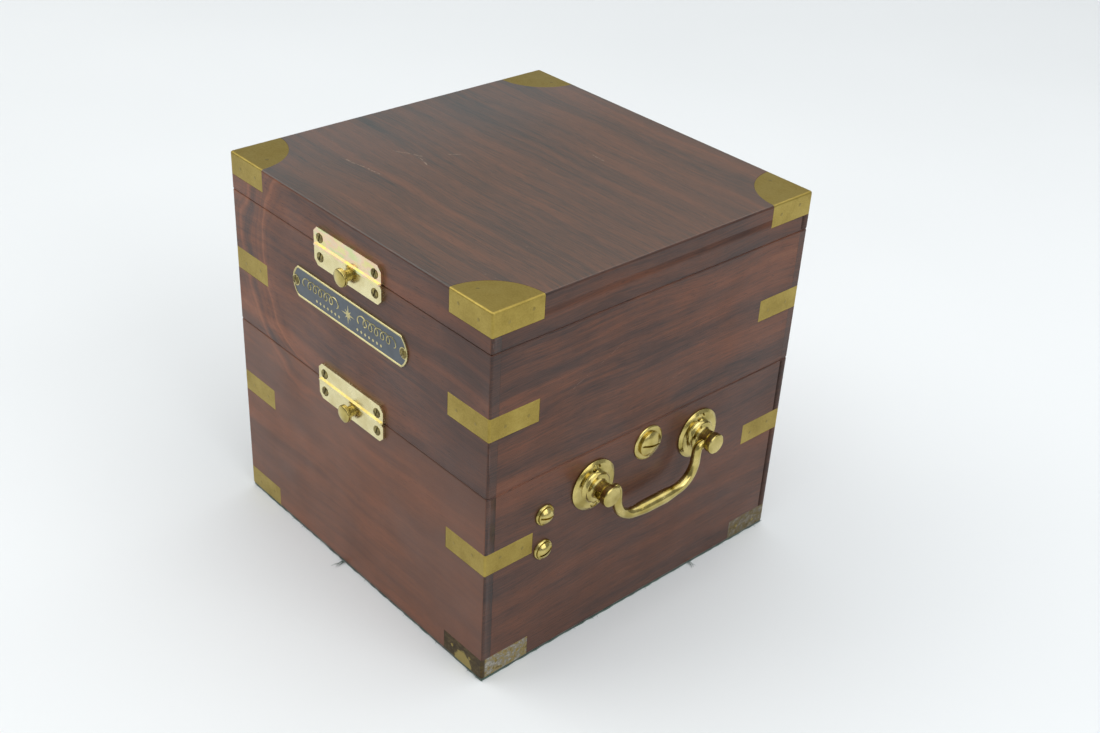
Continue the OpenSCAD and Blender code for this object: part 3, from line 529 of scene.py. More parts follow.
def baize():
    tree = Tree("baize")
    fuzz = tree.cloud(0.5, 4, 0.7)
    cloud = tree.cloud(15, 3)
    value = mix_layers(tree, (fuzz, 0.5), (cloud, 0.5))
    colour = tree.ramp(value, (0.35, (0.006, 0.030, 0.018)), (0.65, (0.018, 0.075, 0.045)))
    return tree.shader(
        Base_Color=colour, Roughness=0.95, Sheen_Weight=0.5, Sheen_Roughness=0.5,
        Normal=tree.bump(fuzz, 0.3, 0.8),
    )


def glass(name, tint):
    tree = Tree(name)
    wave = tree.cloud(30, 2)
    colour = tree.ramp(wave, (0.3, tint), (0.7, tuple(min(1, 1.01 * c) for c in tint)))
    return tree.shader(
        Base_Color=colour, Roughness=0.0, Transmission_Weight=1.0, IOR=1.45,
        Normal=tree.bump(wave, 0.05, 0.2),
    )


def pale_floor():
    tree = Tree("studio_floor")
    cloud = tree.cloud(400, 2)
    colour = tree.ramp(cloud, (0.3, (0.78, 0.80, 0.80)), (0.7, (0.81, 0.83, 0.83)))
    return tree.shader(Base_Color=colour, Roughness=0.55, Specular_IOR_Level=0.25)


# ---- small tools for shapes ----

SHARP = math.radians(34)


def cad_mesh(*nodes):
    """The CAD nodes' shape with its vertices welded and its flat faces whole."""
    made = bmesh.new()
    for node in nodes:
        made.from_mesh(frame["nodes"][node].data)
    bmesh.ops.remove_doubles(made, verts=made.verts, dist=WELD)
    bmesh.ops.dissolve_limit(made, angle_limit=math.radians(1), verts=made.verts, edges=made.edges)
    return made


def loose_parts(made):
    """The separate solids in a mesh, as lists of faces, in the same order each time."""
    made.verts.index_update()
    made.faces.index_update()
    left, parts = set(made.faces), []
    while left:
        seed = min(left, key=lambda face: face.index)
        group, edge = {seed}, [seed]
        while edge:
            for e in edge.pop().edges:
                for face in e.link_faces:
                    if face not in group:
                        group.add(face)
                        edge.append(face)
        left -= group
        parts.append(sorted(group, key=lambda face: face.index))
    return parts


def middle(faces):
    """The mean place of the faces' corners, added up in a fixed order."""
    corners = {v.index: v.co for face in faces for v in face.verts}
    return sum(corners.values(), Vector()) / len(corners)


def only(made, keep):
    """A copy that holds just the solids whose middle passes the test."""
    copy = made.copy()
    doomed = [face for part in loose_parts(copy) if not keep(middle(part)) for face in part]
    bmesh.ops.delete(copy, geom=doomed, context="FACES")
    return copy


def bevel(made, width, chosen=lambda edge: True, segments=2, least=SHARP):
    edges = [e for e in made.edges if e.is_manifold and e.calc_face_angle(0) > least and chosen(e)]
    if edges:
        bmesh.ops.bevel(
            made, geom=edges, offset=width, offset_type="OFFSET", segments=segments, profile=0.5,
            affect="EDGES", clamp_overlap=True,
        )


def both(edge, test):
    return all(test(v.co) for v in edge.verts)


def on(value, wanted):
    return abs(value - wanted) < NEAR


def piece(name, made, body, materials, nodes=(), smooth_below=SHARP):
    """Turns a bmesh into a finished piece that rides on a CAD body."""
    mesh = bpy.data.meshes.new(name)
    bmesh.ops.recalc_face_normals(made, faces=made.faces)
    made.to_mesh(mesh)
    made.free()
    for material in materials if isinstance(materials, (list, tuple)) else [materials]:
        mesh.materials.append(material)
    mesh.polygons.foreach_set("use_smooth", [True] * len(mesh.polygons))
    mesh.set_sharp_from_angle(angle=smooth_below)
    obj = bpy.data.objects.new(name, mesh)
    bpy.context.scene.collection.objects.link(obj)
    shading = obj.modifiers.new("flat_faces_stay_flat", "WEIGHTED_NORMAL")
    shading.keep_sharp = True
    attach(obj, body)
    if nodes:
        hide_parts(*nodes)
    return obj


def stand_in(name, made, node, material, smooth_below=SHARP):
    """A finished piece that is shown in place of one CAD node."""
    return piece(name, made, BODY_OF[node], material, [node], smooth_below)


def arc(x, z, radius, start, end, steps=6):
    """Points of a round stretch of an outline, angles in degrees."""
    angles = [math.radians(start + (end - start) * i / steps) for i in range(steps + 1)]
    return [(x + radius * math.cos(a), z + radius * math.sin(a)) for a in angles]


def skin(made, low, high):
    """Four-sided faces between two rings of vertices."""
    for i in range(len(low)):
        j = (i + 1) % len(low)
        made.faces.new([low[i], low[j], high[j], high[i]])


def lathe(outline, turn=Matrix(), segments=64):
    """Turns an outline of (radius, height) points in millimetres about its axis, then places it."""
    made = bmesh.new()
    rings = []
    for radius, height in outline:
        if radius < 1e-6:
            rings.append([made.verts.new((0, 0, height * MM))])
            continue
        angles = [2 * math.pi * i / segments for i in range(segments)]
        rings.append([
            made.verts.new((radius * MM * math.cos(a), radius * MM * math.sin(a), height * MM))
            for a in angles
        ])
    for low, high in zip(rings, rings[1:]):
        if len(low) == len(high) == segments:
            skin(made, low, high)
            continue
        for i in range(segments):
            j = (i + 1) % segments
            if len(high) == segments:
                made.faces.new([low[0], high[j], high[i]])
            elif len(low) == segments:
                made.faces.new([low[i], low[j], high[0]])
    bmesh.ops.transform(made, matrix=turn, verts=made.verts)
    return made


def joined(*meshes):
    """One bmesh out of several."""
    whole = bmesh.new()
    for made in meshes:
        spare = bpy.data.meshes.new("spare")
        made.to_mesh(spare)
        made.free()
        whole.from_mesh(spare)
        bpy.data.meshes.remove(spare)
    return whole


def slab(size, turn):
    """A block of a size in millimetres, centred on its own middle, then placed."""
    made = bmesh.new()
    bmesh.ops.create_cube(made, size=1)
    bmesh.ops.scale(made, vec=[side * MM for side in size], verts=made.verts)
    bmesh.ops.transform(made, matrix=turn, verts=made.verts)
    return made


def cut(made, *cutters):
    """made less the cutters, as a new bmesh."""
    def shape(part, name):
        mesh = bpy.data.meshes.new(name)
        part.to_mesh(mesh)
        part.free()
        obj = bpy.data.objects.new(name, mesh)
        bpy.context.scene.collection.objects.link(obj)
        return obj

    bmesh.ops.recalc_face_normals(made, faces=made.faces)
    body = shape(made, "cut_body")
    tools = [shape(cutter, "cut_tool") for cutter in cutters]
    for tool in tools:
        step = body.modifiers.new("cut", "BOOLEAN")
        step.object = tool
        step.operation = "DIFFERENCE"
        step.solver = "EXACT"
    bpy.context.view_layer.update()
    result = bmesh.new()
    result.from_mesh(body.evaluated_get(bpy.context.evaluated_depsgraph_get()).to_mesh())
    for obj in [body, *tools]:
        mesh = obj.data
        bpy.data.objects.remove(obj)
        bpy.data.meshes.remove(mesh)
    return result


def facing(x, y, z, direction):
    """Places a shape that points up so that it points out of the front, back, right or left."""
    turns = {"front": (math.pi / 2, 0, 0), "back": (-math.pi / 2, 0, 0), "right": (0, math.pi / 2, 0),
             "left": (0, -math.pi / 2, 0), "up": (0, 0, 0)}
    rx, ry, rz = turns[direction]
    turn = Matrix.Rotation(rz, 4, "Z") @ Matrix.Rotation(ry, 4, "Y") @ Matrix.Rotation(rx, 4, "X")
    return Matrix.Translation((x, y, z)) @ turn


def sweep(points, radii, sides=20):
    """A round bar along points, with a radius at each, all in millimetres."""
    made = bmesh.new()
    points = [Vector(p) * MM for p in points]
    rings = []
    side = None
    for i, point in enumerate(points):
        ahead = points[min(i + 1, len(points) - 1)] - points[max(i - 1, 0)]
        ahead.normalize()
        if side is None:
            side = ahead.orthogonal().normalized()
        side = (side - ahead * side.dot(ahead)).normalized()
        up = ahead.cross(side)
        ring = []
        for k in range(sides):
            a = 2 * math.pi * k / sides
            ring.append(made.verts.new(point + (side * math.cos(a) + up * math.sin(a)) * radii[i] * MM))
        rings.append(ring)
    for low, high in zip(rings, rings[1:]):
        skin(made, low, high)
    made.faces.new(rings[0][::-1])
    made.faces.new(rings[-1])
    return made


def curve_through(points, steps=8):
    """Points of a smooth curve through a few given ones (Catmull-Rom); any number of values each."""
    ends = [points[0], *points, points[-1]]
    made = []
    for a, b, c, d in zip(ends, ends[1:], ends[2:], ends[3:]):
        for i in range(steps):
            t = i / steps
            made.append([
                0.5 * (2 * q + (r - p) * t + (2 * p - 5 * q + 4 * r - s) * t * t
                       + (3 * q - p - 3 * r + s) * t ** 3)
                for p, q, r, s in zip(a, b, c, d)
            ])
    return [*made, list(points[-1])]


# ---- materials, made once ----

WOODS = [front_wood(), side_wood(), top_wood(), end_wood()]
INSIDE_X = inner_wood("X", "Z", "Y")
INSIDE_Y = inner_wood("Y", "Z", "X")
INLAY = inlaid_brass()
TARNISH = tarnished_brass()
BRIGHT = polished_brass(base_rough=0.16)
RAINBOW = polished_brass("polished_brass_iridescent", film=0.6)
GOLDEN = polished_brass("handle_brass", GOLDEN_BRASS, 0.14)
PLATE_BRASS = polished_brass("nameplate_brass", DULL_BRASS, 0.2)
PIN_BRASS = polished_brass("corner_pins", ((0.24, 0.18, 0.05), (0.33, 0.25, 0.07)), 0.3)
SCREWS = dark_brass()
MOVEMENT = movement_brass()
SPOTTED = movement_brass("movement_brass_spotted", spotted=True)
TURNED = turned_brass()
STEEL = steel("steel", (0.62, 0.61, 0.60), (0.48, 0.47, 0.46), 0.24)
BLUED = steel("blued_steel", (0.03, 0.06, 0.30), (0.015, 0.025, 0.14), 0.2)
SILVERED = silvered()
BLACK = ink("dial_black", (0.008, 0.008, 0.009))
ENAMEL = enamel()
BAIZE = baize()
CLEAR = glass("window_glass", (0.96, 0.985, 0.97))
CLEAR_DIAL = glass("bezel_glass", (0.985, 0.99, 0.985))

# ---- the wooden box ----

CORNER_ROUND = 1.1 * MM
SEAM_ROUND = 0.6 * MM


def outside(co):
    return on(abs(co.x), HALF) or on(abs(co.y), HALF)


def corner_edge(edge):
    return both(edge, lambda co: on(abs(co.x), HALF) and on(abs(co.y), HALF))


def level_edge(edge, height):
    """True for an edge at this height that runs round the outside, its rounded corners included."""
    reach = HALF - CORNER_ROUND
    return both(edge, lambda co: on(co.z, height) and max(abs(co.x), abs(co.y)) > reach)


def top_corner(made):
    """Rounds the upright corners and the top edges together, so that they meet in a ball."""
    bevel(made, CORNER_ROUND, lambda e: corner_edge(e) or level_edge(e, TOP), 3)


def paint_wood(made):
    """Each face takes the wood whose grain runs its way: front and back, sides, top, end grain, inside. The
    rounded top edges at the left and right take the dark end grain, partly for their grain and partly as a
    painted dark line of shade.
    """
    for face in made.faces:
        n, c = face.normal, face.calc_center_median()
        if c.z > TOP - CORNER_ROUND and n.z > 0.3:
            # Rounded top edges facing left or right take the dark end grain: partly end grain, partly a
            # painted dark line of shade along the edge.
            face.material_index = 3 if abs(n.x) > 0.3 else 2
        elif abs(c.x) > HALF - CORNER_ROUND and abs(n.x) > 0.5:
            face.material_index = 3 if abs(c.y) > HALF - LAP - NEAR else 1
        elif abs(c.y) > HALF - CORNER_ROUND and abs(n.y) > 0.3:
            face.material_index = 0
        else:
            face.material_index = 4


def board_name(tier, spot):
    if abs(spot.y) > abs(spot.x):
        return f"{tier}_front_board" if spot.y < 0 else f"{tier}_back_board"
    return f"{tier}_right_board" if spot.x > 0 else f"{tier}_left_board"


def four_boards(tier, node, rounds):
    """The tier's boards as four pieces, rounded only at the edges that show outside."""
    whole = cad_mesh(node)
    spots = [middle(part) for part in loose_parts(whole)]
    for spot in spots:
        made = only(whole, lambda m: (m - spot).length < 1e-4)
        bevel(made, CORNER_ROUND, corner_edge, 3)
        for height, width in rounds:
            bevel(made, width, lambda e: level_edge(e, height), 2)
        bmesh.ops.recalc_face_normals(made, faces=made.faces)
        paint_wood(made)
        inside = INSIDE_X if abs(spot.y) > abs(spot.x) else INSIDE_Y
        stand_in(board_name(tier, spot), made, node, [*WOODS, inside])
    whole.free()


def wooden_box():
    low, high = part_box("lid_boards")
    four_boards("lid", "lid_boards", [(low.z, SEAM_ROUND)])
    low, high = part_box("middle_boards")
    four_boards("middle", "middle_boards", [(low.z, SEAM_ROUND), (high.z, SEAM_ROUND)])
    low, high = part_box("base_boards")
    four_boards("base", "base_boards", [(low.z, 2 * SEAM_ROUND), (high.z, SEAM_ROUND)])
    made = cad_mesh("lid_top_panel")
    top_corner(made)
    paint_wood(made)
    piece("lid_panel", made, "lid", [*WOODS, INSIDE_X], ["lid_top_panel"])


# ---- flush brass corners ----

ARM_HEIGHT = 11.4 * MM
PINS_AWAY = (8.5 * MM, 21 * MM)
EDGE_WEAR = 0.16 * MM
SLIVER = 0.06 * MM


def mark_pins(spots):
    """The rubbed-down heads of the pins that hold the brass, as faint discs in its surface."""
    head = [(0, -0.3), (0.85, -0.3), (0.85, 0.0), (0.7, 0.05), (0, 0.05)]
    pins = [lathe(head, facing(*spot, way), 20) for spot, way in spots]
    for pin in pins:
        for face in pin.faces:
            face.material_index = 1
    return pins


def corner_brass(name, node, low, keep, material):
    """The corner pieces that pass the test, rounded like the wood beside them, with their pins."""
    whole = cad_mesh(node)
    made = only(whole, keep)
    whole.free()
    bmesh.ops.remove_doubles(made, verts=made.verts, dist=SLIVER)
    top_corner(made)
    bevel(made, 2 * SEAM_ROUND, lambda e: level_edge(e, FOOT), 2)
    shown = lambda e: both(e, outside) or both(e, lambda co: on(co.z, TOP))
    bevel(made, EDGE_WEAR, shown, 1, math.radians(60))
    spots = []
    for x in (-1, 1):
        for y in (-1, 1):
            if not keep(Vector((x * HALF, y * HALF, low + ARM_HEIGHT / 2))):
                continue
            for away in PINS_AWAY:
                z = low + ARM_HEIGHT * (0.5 + 0.12 * dice.uniform(-1, 1))
                spots.append(((x * (HALF - away), y * HALF, z), "front" if y < 0 else "back"))
                spots.append(((x * HALF, y * (HALF - away), z), "right" if x > 0 else "left"))
            if low > LID_SEAM:
                spots.append(((x * (HALF - 19 * MM), y * (HALF - 8 * MM), TOP), "up"))
    made = joined(made, *mark_pins(spots))
    stand_in(name, made, node, [material, PIN_BRASS])


def flush_brass():
    always = lambda spot: True
    corner_brass("lid_corner_brass", "lid_corner_caps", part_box("lid_corner_caps")[0].z, always, INLAY)
    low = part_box("middle_corner_straps")[0].z
    corner_brass("middle_corner_brass", "middle_corner_straps", low, always, INLAY)
    split = 30 * MM
    node = "base_corner_straps"
    strap_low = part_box(node)[1].z - ARM_HEIGHT
    corner_brass("base_corner_brass", node, strap_low, lambda s: s.z > split, INLAY)
    wear_and_sheen = lambda s: s.x > 0 and s.z < split
    sound = lambda s: s.x < 0 and s.z < split
    corner_brass("foot_brass_right", node, FOOT, wear_and_sheen, TARNISH)
    corner_brass("foot_brass_left", node, FOOT, sound, INLAY)


# ---- everything else that keeps its CAD shape, with rounded edges ----


def rounded(node, material, width=0.15, segments=2):
    """The CAD shape with its outer edges softened."""
    made = cad_mesh(node)
    bevel(made, width * MM, lambda edge: edge.is_convex, segments)
    return stand_in(f"{node}_finished", made, node, material)


def plain_parts():
    for node in ("lid_catch_leaf", "middle_catch_leaves", "base_catch_leaf"):
        rounded(node, RAINBOW if node == "lid_catch_leaf" else BRIGHT, 0.3, 3)
    for node in ("lid_hinge_leaves", "middle_hinge_leaves", "base_hinge_leaves"):
        rounded(node, BRIGHT, 0.2)
    for node in ("window_frame", "glass_beads"):
        rounded(node, INSIDE_X, 0.5)
    rounded("base_bottom_board", INSIDE_X, 0.5)
    rounded("key_holder", INSIDE_Y, 0.6)
    rounded("window_glass", CLEAR, 0.3)
    rounded("bezel_glass", CLEAR_DIAL, 0.2)
    for node in ("gimbal_ring", "bowl", "bezel", "winding_shutter"):
        rounded(node, TURNED, 0.35)
    for node in ("gimbal_lock_bracket", "gimbal_lock_arm", "winding_key", "bowl_pivot_screws"):
        rounded(node, BRIGHT, 0.25)
    for node in ("pillar_plate", "top_plate"):
        rounded(node, SPOTTED, 0.2)
    for node in ("movement_pillars", "great_wheel", "fusee", "barrel", "centre_wheel", "third_wheel",
                 "fourth_wheel", "escape_wheel", "balance", "balance_cock"):
        rounded(node, MOVEMENT, 0.06, 1)
    for node in ("detent", "chain"):
        rounded(node, STEEL, 0.06, 1)
    for level in ("upper", "lower"):
        spring = rounded(f"{level}_button_spring", STEEL, 0.02, 1)
        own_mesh(spring)
    rounded("balance_spring", BLUED, 0.02, 1)
    for node in ("hour_hand", "minute_hand", "seconds_hand", "up_down_hand"):
        rounded(node, BLUED, 0.08)
    rounded("dial", SILVERED, 0.2)


# ---- push buttons, screws and posts, turned on a lathe ----

BUTTON_DROP = 5 * MM
ROSETTE_T = 1.8 * MM


def push_knob(node, seam):
    """A knob with a domed end and a groove, on a stem whose collar sits behind the leaf."""
    outline = [
        (0, -1.3), (3.45, -1.3), (3.6, -1.15), (3.6, -0.1), (2.5, -0.1), (2.5, 3.85), (4.0, 3.85),
        (4.25, 4.05), (4.25, 4.45), *arc(4.3, 4.7, 0.25, 260, 100, 6), (4.25, 5.0),
        *arc(3.65, 5.35, 0.6, 0, 60, 4), (3.0, 6.15), (1.8, 6.45), (0, 6.6),
    ]
    made = lathe(outline, facing(0, -HALF, seam - BUTTON_DROP, "front"))
    return stand_in(f"{node}_knob", made, node, GOLDEN, math.radians(28))


def dome(radius, base, rise, steps=7):
    """The outline of a domed head: a short side, then a round top that ends on the axis."""
    side = radius - 0.12
    ball = (side * side + rise * rise) / (2 * rise)
    top = base + rise
    reach = math.degrees(math.asin(min(1, side / ball)))
    outline = arc(0, top - ball, ball, 90 - reach, 90, steps)
    return [(radius, base - 0.12), *outline[:-1], (0, top)]


def slotted(outline, place, top, turn, width, depth):
    """A turned head with a slot across it, turned by some degrees."""
    radius = max(r for r, h in outline)
    groove = slab((2 * radius + 2, width, 2 * depth), Matrix.Translation((0, 0, top * MM)))
    bmesh.ops.rotate(groove, verts=groove.verts, matrix=Matrix.Rotation(math.radians(turn), 3, "Z"))
    bmesh.ops.transform(groove, matrix=place, verts=groove.verts)
    return cut(lathe(outline, place, 40), groove)


def gimbal_screws():
    """A big domed screw in a dished washer, on each side of the box."""
    node = "gimbal_pivot_screws"
    z = (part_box(node)[0].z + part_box(node)[1].z) / 2
    parts = []
    for side, way, turn in ((1, "right", 80), (-1, "left", -20)):
        place = facing(side * HALF, 0, z, way)
        washer = [
            (3, 0), (8.7, 0), (8.8, 0.12), (8.75, 0.45), (8.5, 0.72), (8.1, 0.9), (7.5, 1.0), (3, 1.0),
            (3, 0),
        ]
        parts.append(lathe(washer, place))
        head = [(0, 1.0), (6.1, 1.0), (6.3, 1.15), *dome(6.3, 2.3, 1.6)]
        parts.append(slotted(head, place, 3.9, turn, 1.1, 1.5))
        shank = [(0, 0.4), (3, 0.4), (3, -17.5), (2, -18), (2, -29), (0, -29)]
        parts.append(lathe(shank[::-1], place, 32))
    made = joined(*parts)
    return stand_in("gimbal_screws", made, node, GOLDEN)


def solids_of(node, keep):
    """The middles of the node's separate solids that pass the test, in a fixed order."""
    whole = cad_mesh(node)
    spots = [middle(part) for part in loose_parts(whole)]
    whole.free()
    return sorted((spot for spot in spots if keep(spot)), key=lambda spot: tuple(round(v, 5) for v in spot))


def lock_screws():
    """Two domed screws in cup washers, which hold the gimbal lock from outside."""
    washers = solids_of("base_screws", lambda spot: spot.x > HALF - 20 * MM and spot.y < -50 * MM)
    parts = []
    for spot, turn in zip(washers, (112, 84)):
        place = facing(HALF, spot.y, spot.z, "right")
        cup = [
            (1.6, 0), (5.1, 0), (5.2, 0.15), (5.15, 0.6), (4.9, 1.1), (4.6, 1.3), (4.3, 1.2), (4.25, 0.6),
            (1.6, 0.6), (1.6, 0),
        ]
        parts.append(lathe(cup, place, 48))
        head = [(0, 0.6), (4.15, 0.6), *dome(4.2, 1.9, 1.7)]
        parts.append(slotted(head, place, 3.6, turn, 1.0, 1.5))
    made = joined(*parts)
    return piece("gimbal_lock_screws", made, "case", GOLDEN, ["base_screws"])


def handle_screw_spots():
    return solids_of("base_screws", lambda spot: abs(spot.x) > HALF - 12 * MM and abs(spot.y) < 45 * MM)


def rosettes():
    """Flanged handle posts: a chamfered rim, a raised boss, a waist and a rounded head."""
    node = "handle_rosettes"
    outline = [
        (0, 0), (12.6, 0), (12.8, 0.15), (12.8, 0.75), (12.65, 0.95), (11.3, 1.72), (11.05, 1.8),
        (8.5, 1.8), (8.25, 1.95), *arc(8.9, 3.9, 1.95, 255, 190, 4), (6.7, 3.75), (5.6, 3.85),
        (5.0, 4.1), (4.65, 4.7), (4.5, 5.6), (4.5, 8.6), (4.6, 9.1), (4.95, 9.5), (5.1, 9.9),
        (5.1, 12.2), (4.95, 12.6), (4.6, 12.85), (4.1, 12.95), (0, 13.0),
    ]
    screws = handle_screw_spots()
    parts = []
    for side, way in ((1, "right"), (-1, "left")):
        for y in (-POST_Y, POST_Y):
            bore = lathe([(0, -6), (2.12, -6), (2.12, 6), (0, 6)], facing(0, 0, 0, "back"), 36)
            bmesh.ops.translate(bore, verts=bore.verts, vec=(side * (HALF + BAIL_OUT), y, HANDLE_Z))
            sinks = [
                lathe([(0, -1.3), (1.5, -1.3), (2.5, 0.02), (2.5, 0.5), (0, 0.5)],
                      facing(side * (HALF + ROSETTE_T), spot.y, spot.z, way), 32)
                for spot in screws if spot.x * side > 0 and spot.y * y > 0
            ]
            place = facing(side * HALF, y, HANDLE_Z, way)
            parts.append(cut(lathe(outline, place), bore, *sinks))
    made = joined(*parts)
    return stand_in("handle_posts", made, node, GOLDEN, math.radians(24))


def handle_screws():
    """Small slotted screws, sunk in the rosettes."""
    parts = []
    for spot in handle_screw_spots():
        way = "right" if spot.x > 0 else "left"
        place = facing(math.copysign(HALF + ROSETTE_T, spot.x), spot.y, spot.z, way)
        outline = [(0, -1.2), (1.5, -1.2), *dome(2.0, -0.45, 0.45)]
        parts.append(slotted(outline, place, 0, dice.uniform(0, 180), 0.4, 0.4))
    made = joined(*parts)
    return piece("handle_screws", made, "case", GOLDEN, ["base_screws"])


def flat_screws(tier, node):
    """The tier's catch and hinge screws: the CAD heads with softened rims."""
    whole = cad_mesh(node)
    made = only(whole, lambda m: abs(m.x) < HALF - 6 * MM)
    whole.free()
    bevel(made, 0.09 * MM)
    return stand_in(f"{tier}_catch_and_hinge_screws", made, node, SCREWS)


def turned_parts():
    push_knob("upper_button", LID_SEAM)
    push_knob("lower_button", BASE_SEAM)
    gimbal_screws()
    lock_screws()
    rosettes()
    handle_screws()
    for tier in ("lid", "middle", "base"):
        flat_screws(tier, f"{tier}_screws")


# ---- nameplate: a brass rim and ornament on blue enamel ----

PLATE_BULGE = 4.3
PLATE_RIM = 1.0
PIN_IN = 2.6
LOOPS_Y = 1.7
DIAMONDS_Y = -4.2


def loft(levels):
    """Joins outlines of equal length, each a list of points, from the first to the last."""
    made = bmesh.new()
    rings = [[made.verts.new(Vector(p) * MM) for p in level] for level in levels]
    for low, high in zip(rings, rings[1:]):
        skin(made, low, high)
    return made, rings


def plate_outline(width, height, inset, z):
    """A bar whose ends bulge in an arc, drawn inset from its edge."""
    ball = (height * height / 4 + PLATE_BULGE * PLATE_BULGE) / (2 * PLATE_BULGE)
    centre = width / 2 - ball
    radius, reach = ball - inset, height / 2 - inset
    sweep_angle = math.degrees(math.asin(reach / radius))
    right = [(x + centre, y, z) for x, y in arc(0, 0, radius, -sweep_angle, sweep_angle, 14)]
    return right + [(-x, -y, z) for x, y, _ in right]


def running_loops(start, end, height, loops):
    """A line of running loops between two places, as an engraver's flourish, as (x, y) points."""
    points = []
    steps = 16 * loops
    for i in range(steps + 1):
        t = i / steps
        turn = 2 * math.pi * loops * t
        x = start + (end - start) * t + math.copysign(height * 0.5, start - end) * math.sin(turn)
        points.append((x, -height / 2 * math.cos(turn)))
    return points


def faceted(tip, outline):
    """A low solid with flat facets, from an outline of (x, y) points up to a tip, in millimetres."""
    made = bmesh.new()
    top = made.verts.new((tip[0] * MM, tip[1] * MM, 0.85 * MM))
    rim = [made.verts.new((x * MM, y * MM, 0.55 * MM)) for x, y in outline]
    for a, b in zip(rim, rim[1:] + rim[:1]):
        made.faces.new([top, a, b])
    made.faces.new(rim[::-1])
    return made


def lozenge(x, y, width, height):
    corners = [(x + width / 2, y), (x, y + height / 2), (x - width / 2, y), (x, y - height / 2)]
    return faceted((x, y), corners)


def star(radius, inner, points=8):
    """A compass star of long and short points."""
    outline = []
    for i in range(2 * points):
        reach = inner if i % 2 else (radius if i % 4 == 0 else radius * 0.62)
        angle = math.pi * i / points
        outline.append((reach * math.cos(angle), reach * math.sin(angle)))
    return faceted((0, 0), outline)


def nameplate():
    node = "nameplate"
    low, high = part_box(node)
    width, height = (high.x - low.x) / MM, (high.z - low.z) / MM
    place = facing((low.x + high.x) / 2, -HALF, (low.z + high.z) / 2, "front")
    levels = [(0, 0), (0, 0.62), (0.15, 0.8), (PLATE_RIM - 0.15, 0.8), (PLATE_RIM, 0.6)]
    made, rings = loft([plate_outline(width, height, inset, z) for inset, z in levels])
    field = made.faces.new(rings[-1])
    field.material_index = 1
    made.faces.new(rings[0][::-1])
    pin_x = width / 2 - PIN_IN
    boss = [(0, 0.5), (2.75, 0.5), (2.8, 0.75), (2.6, 0.85), (1.5, 0.85), (1.4, 0.75), (0, 0.75)]
    bosses = [lathe(boss, Matrix.Translation((x * MM, 0, 0)), 32) for x in (-pin_x, pin_x)]
    lines = []
    for side in (-1, 1):
        points = [(x, y + LOOPS_Y, 0.62) for x, y in running_loops(side * 8.5, side * 34, 4.4, 6)]
        lines.append(sweep(points, [0.28] * len(points), 6))
    diamonds = [lozenge(side * (7 + 2.9 * i), DIAMONDS_Y, 1.9, 2.1) for side in (-1, 1) for i in range(7)]
    made = joined(made, star(6, 1.5), *bosses, *lines, *diamonds)
    bmesh.ops.transform(made, matrix=place, verts=made.verts)
    stand_in("nameplate_finished", made, node, [PLATE_BRASS, ENAMEL])
    pins = joined(*[
        lathe([(0, 0.6), (1.3, 0.6), *dome(1.35, 0.95, 0.35)], place @ Matrix.Translation((x * MM, 0, 0)), 24)
        for x in (-pin_x, pin_x)
    ])
    piece("nameplate_pins", pins, "middle_tier", SCREWS, ["middle_screws"])


# ---- dial ----

DIAL_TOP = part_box("dial")[1].z
SECONDS_AT = (0, -24)
UP_DOWN_AT = (0, 22)
INK = 0.03


def stroke(made, a, b, width):
    """A flat bar of ink from a to b on the dial, in millimetres."""
    a, b = Vector(a), Vector(b)
    side = Vector((a.y - b.y, b.x - a.x)).normalized() * width / 2
    corners = [a - side, a + side, b + side, b - side]
    low = [made.verts.new((c.x * MM, c.y * MM, DIAL_TOP)) for c in corners]
    high = [made.verts.new((c.x * MM, c.y * MM, DIAL_TOP + INK * MM)) for c in corners]
    made.faces.new(high)
    made.faces.new(low[::-1])
    skin(made, low, high)


def ink_ring(made, centre, radius, width, start=0, end=360):
    count = max(12, int(abs(end - start) / 4))
    points = arc(*centre, radius, start, end, count)
    for a, b in zip(points, points[1:]):
        stroke(made, a, b, width)


def ticks(made, centre, inner, outer, count, width, start=90, sweep_by=-360, long_every=5, longer=0.0):
    for i in range(count + (0 if abs(sweep_by) == 360 else 1)):
        angle = math.radians(start + sweep_by * i / count)
        way = Vector((math.cos(angle), math.sin(angle)))
        bold = i % long_every == 0
        a = Vector(centre) + way * (inner - (longer if bold else 0))
        stroke(made, a, Vector(centre) + way * outer, width * (1.8 if bold else 1))


ROMAN = ["XII", "I", "II", "III", "IIII", "V", "VI", "VII", "VIII", "IX", "X", "XI"]
LETTER_WIDTH = {"I": 1.9, "V": 4.4, "X": 4.4}


def roman(made, word, angle, radius, height):
    """A numeral in thick and thin strokes with serifs, standing on the circle."""
    out = Vector((math.cos(angle), math.sin(angle)))
    right = Vector((out.y, -out.x))

    def spot(x, y):
        return out * (radius + y) + right * x

    pen = -sum(LETTER_WIDTH[letter] for letter in word) / 2
    for letter in word:
        wide = LETTER_WIDTH[letter]
        mid = pen + wide / 2
        if letter == "I":
            stroke(made, spot(mid, 0), spot(mid, height), 1.05)
        else:
            lean = wide * 0.36
            foot = 0 if letter == "V" else lean
            stroke(made, spot(mid + foot, 0), spot(mid - lean, height), 1.15)
            stroke(made, spot(mid - foot, 0), spot(mid + lean, height), 0.42)
        pen += wide
    half = sum(LETTER_WIDTH[letter] for letter in word) / 2 - 0.1
    for y in (0, height):
        stroke(made, spot(-half, y), spot(half, y), 0.42)


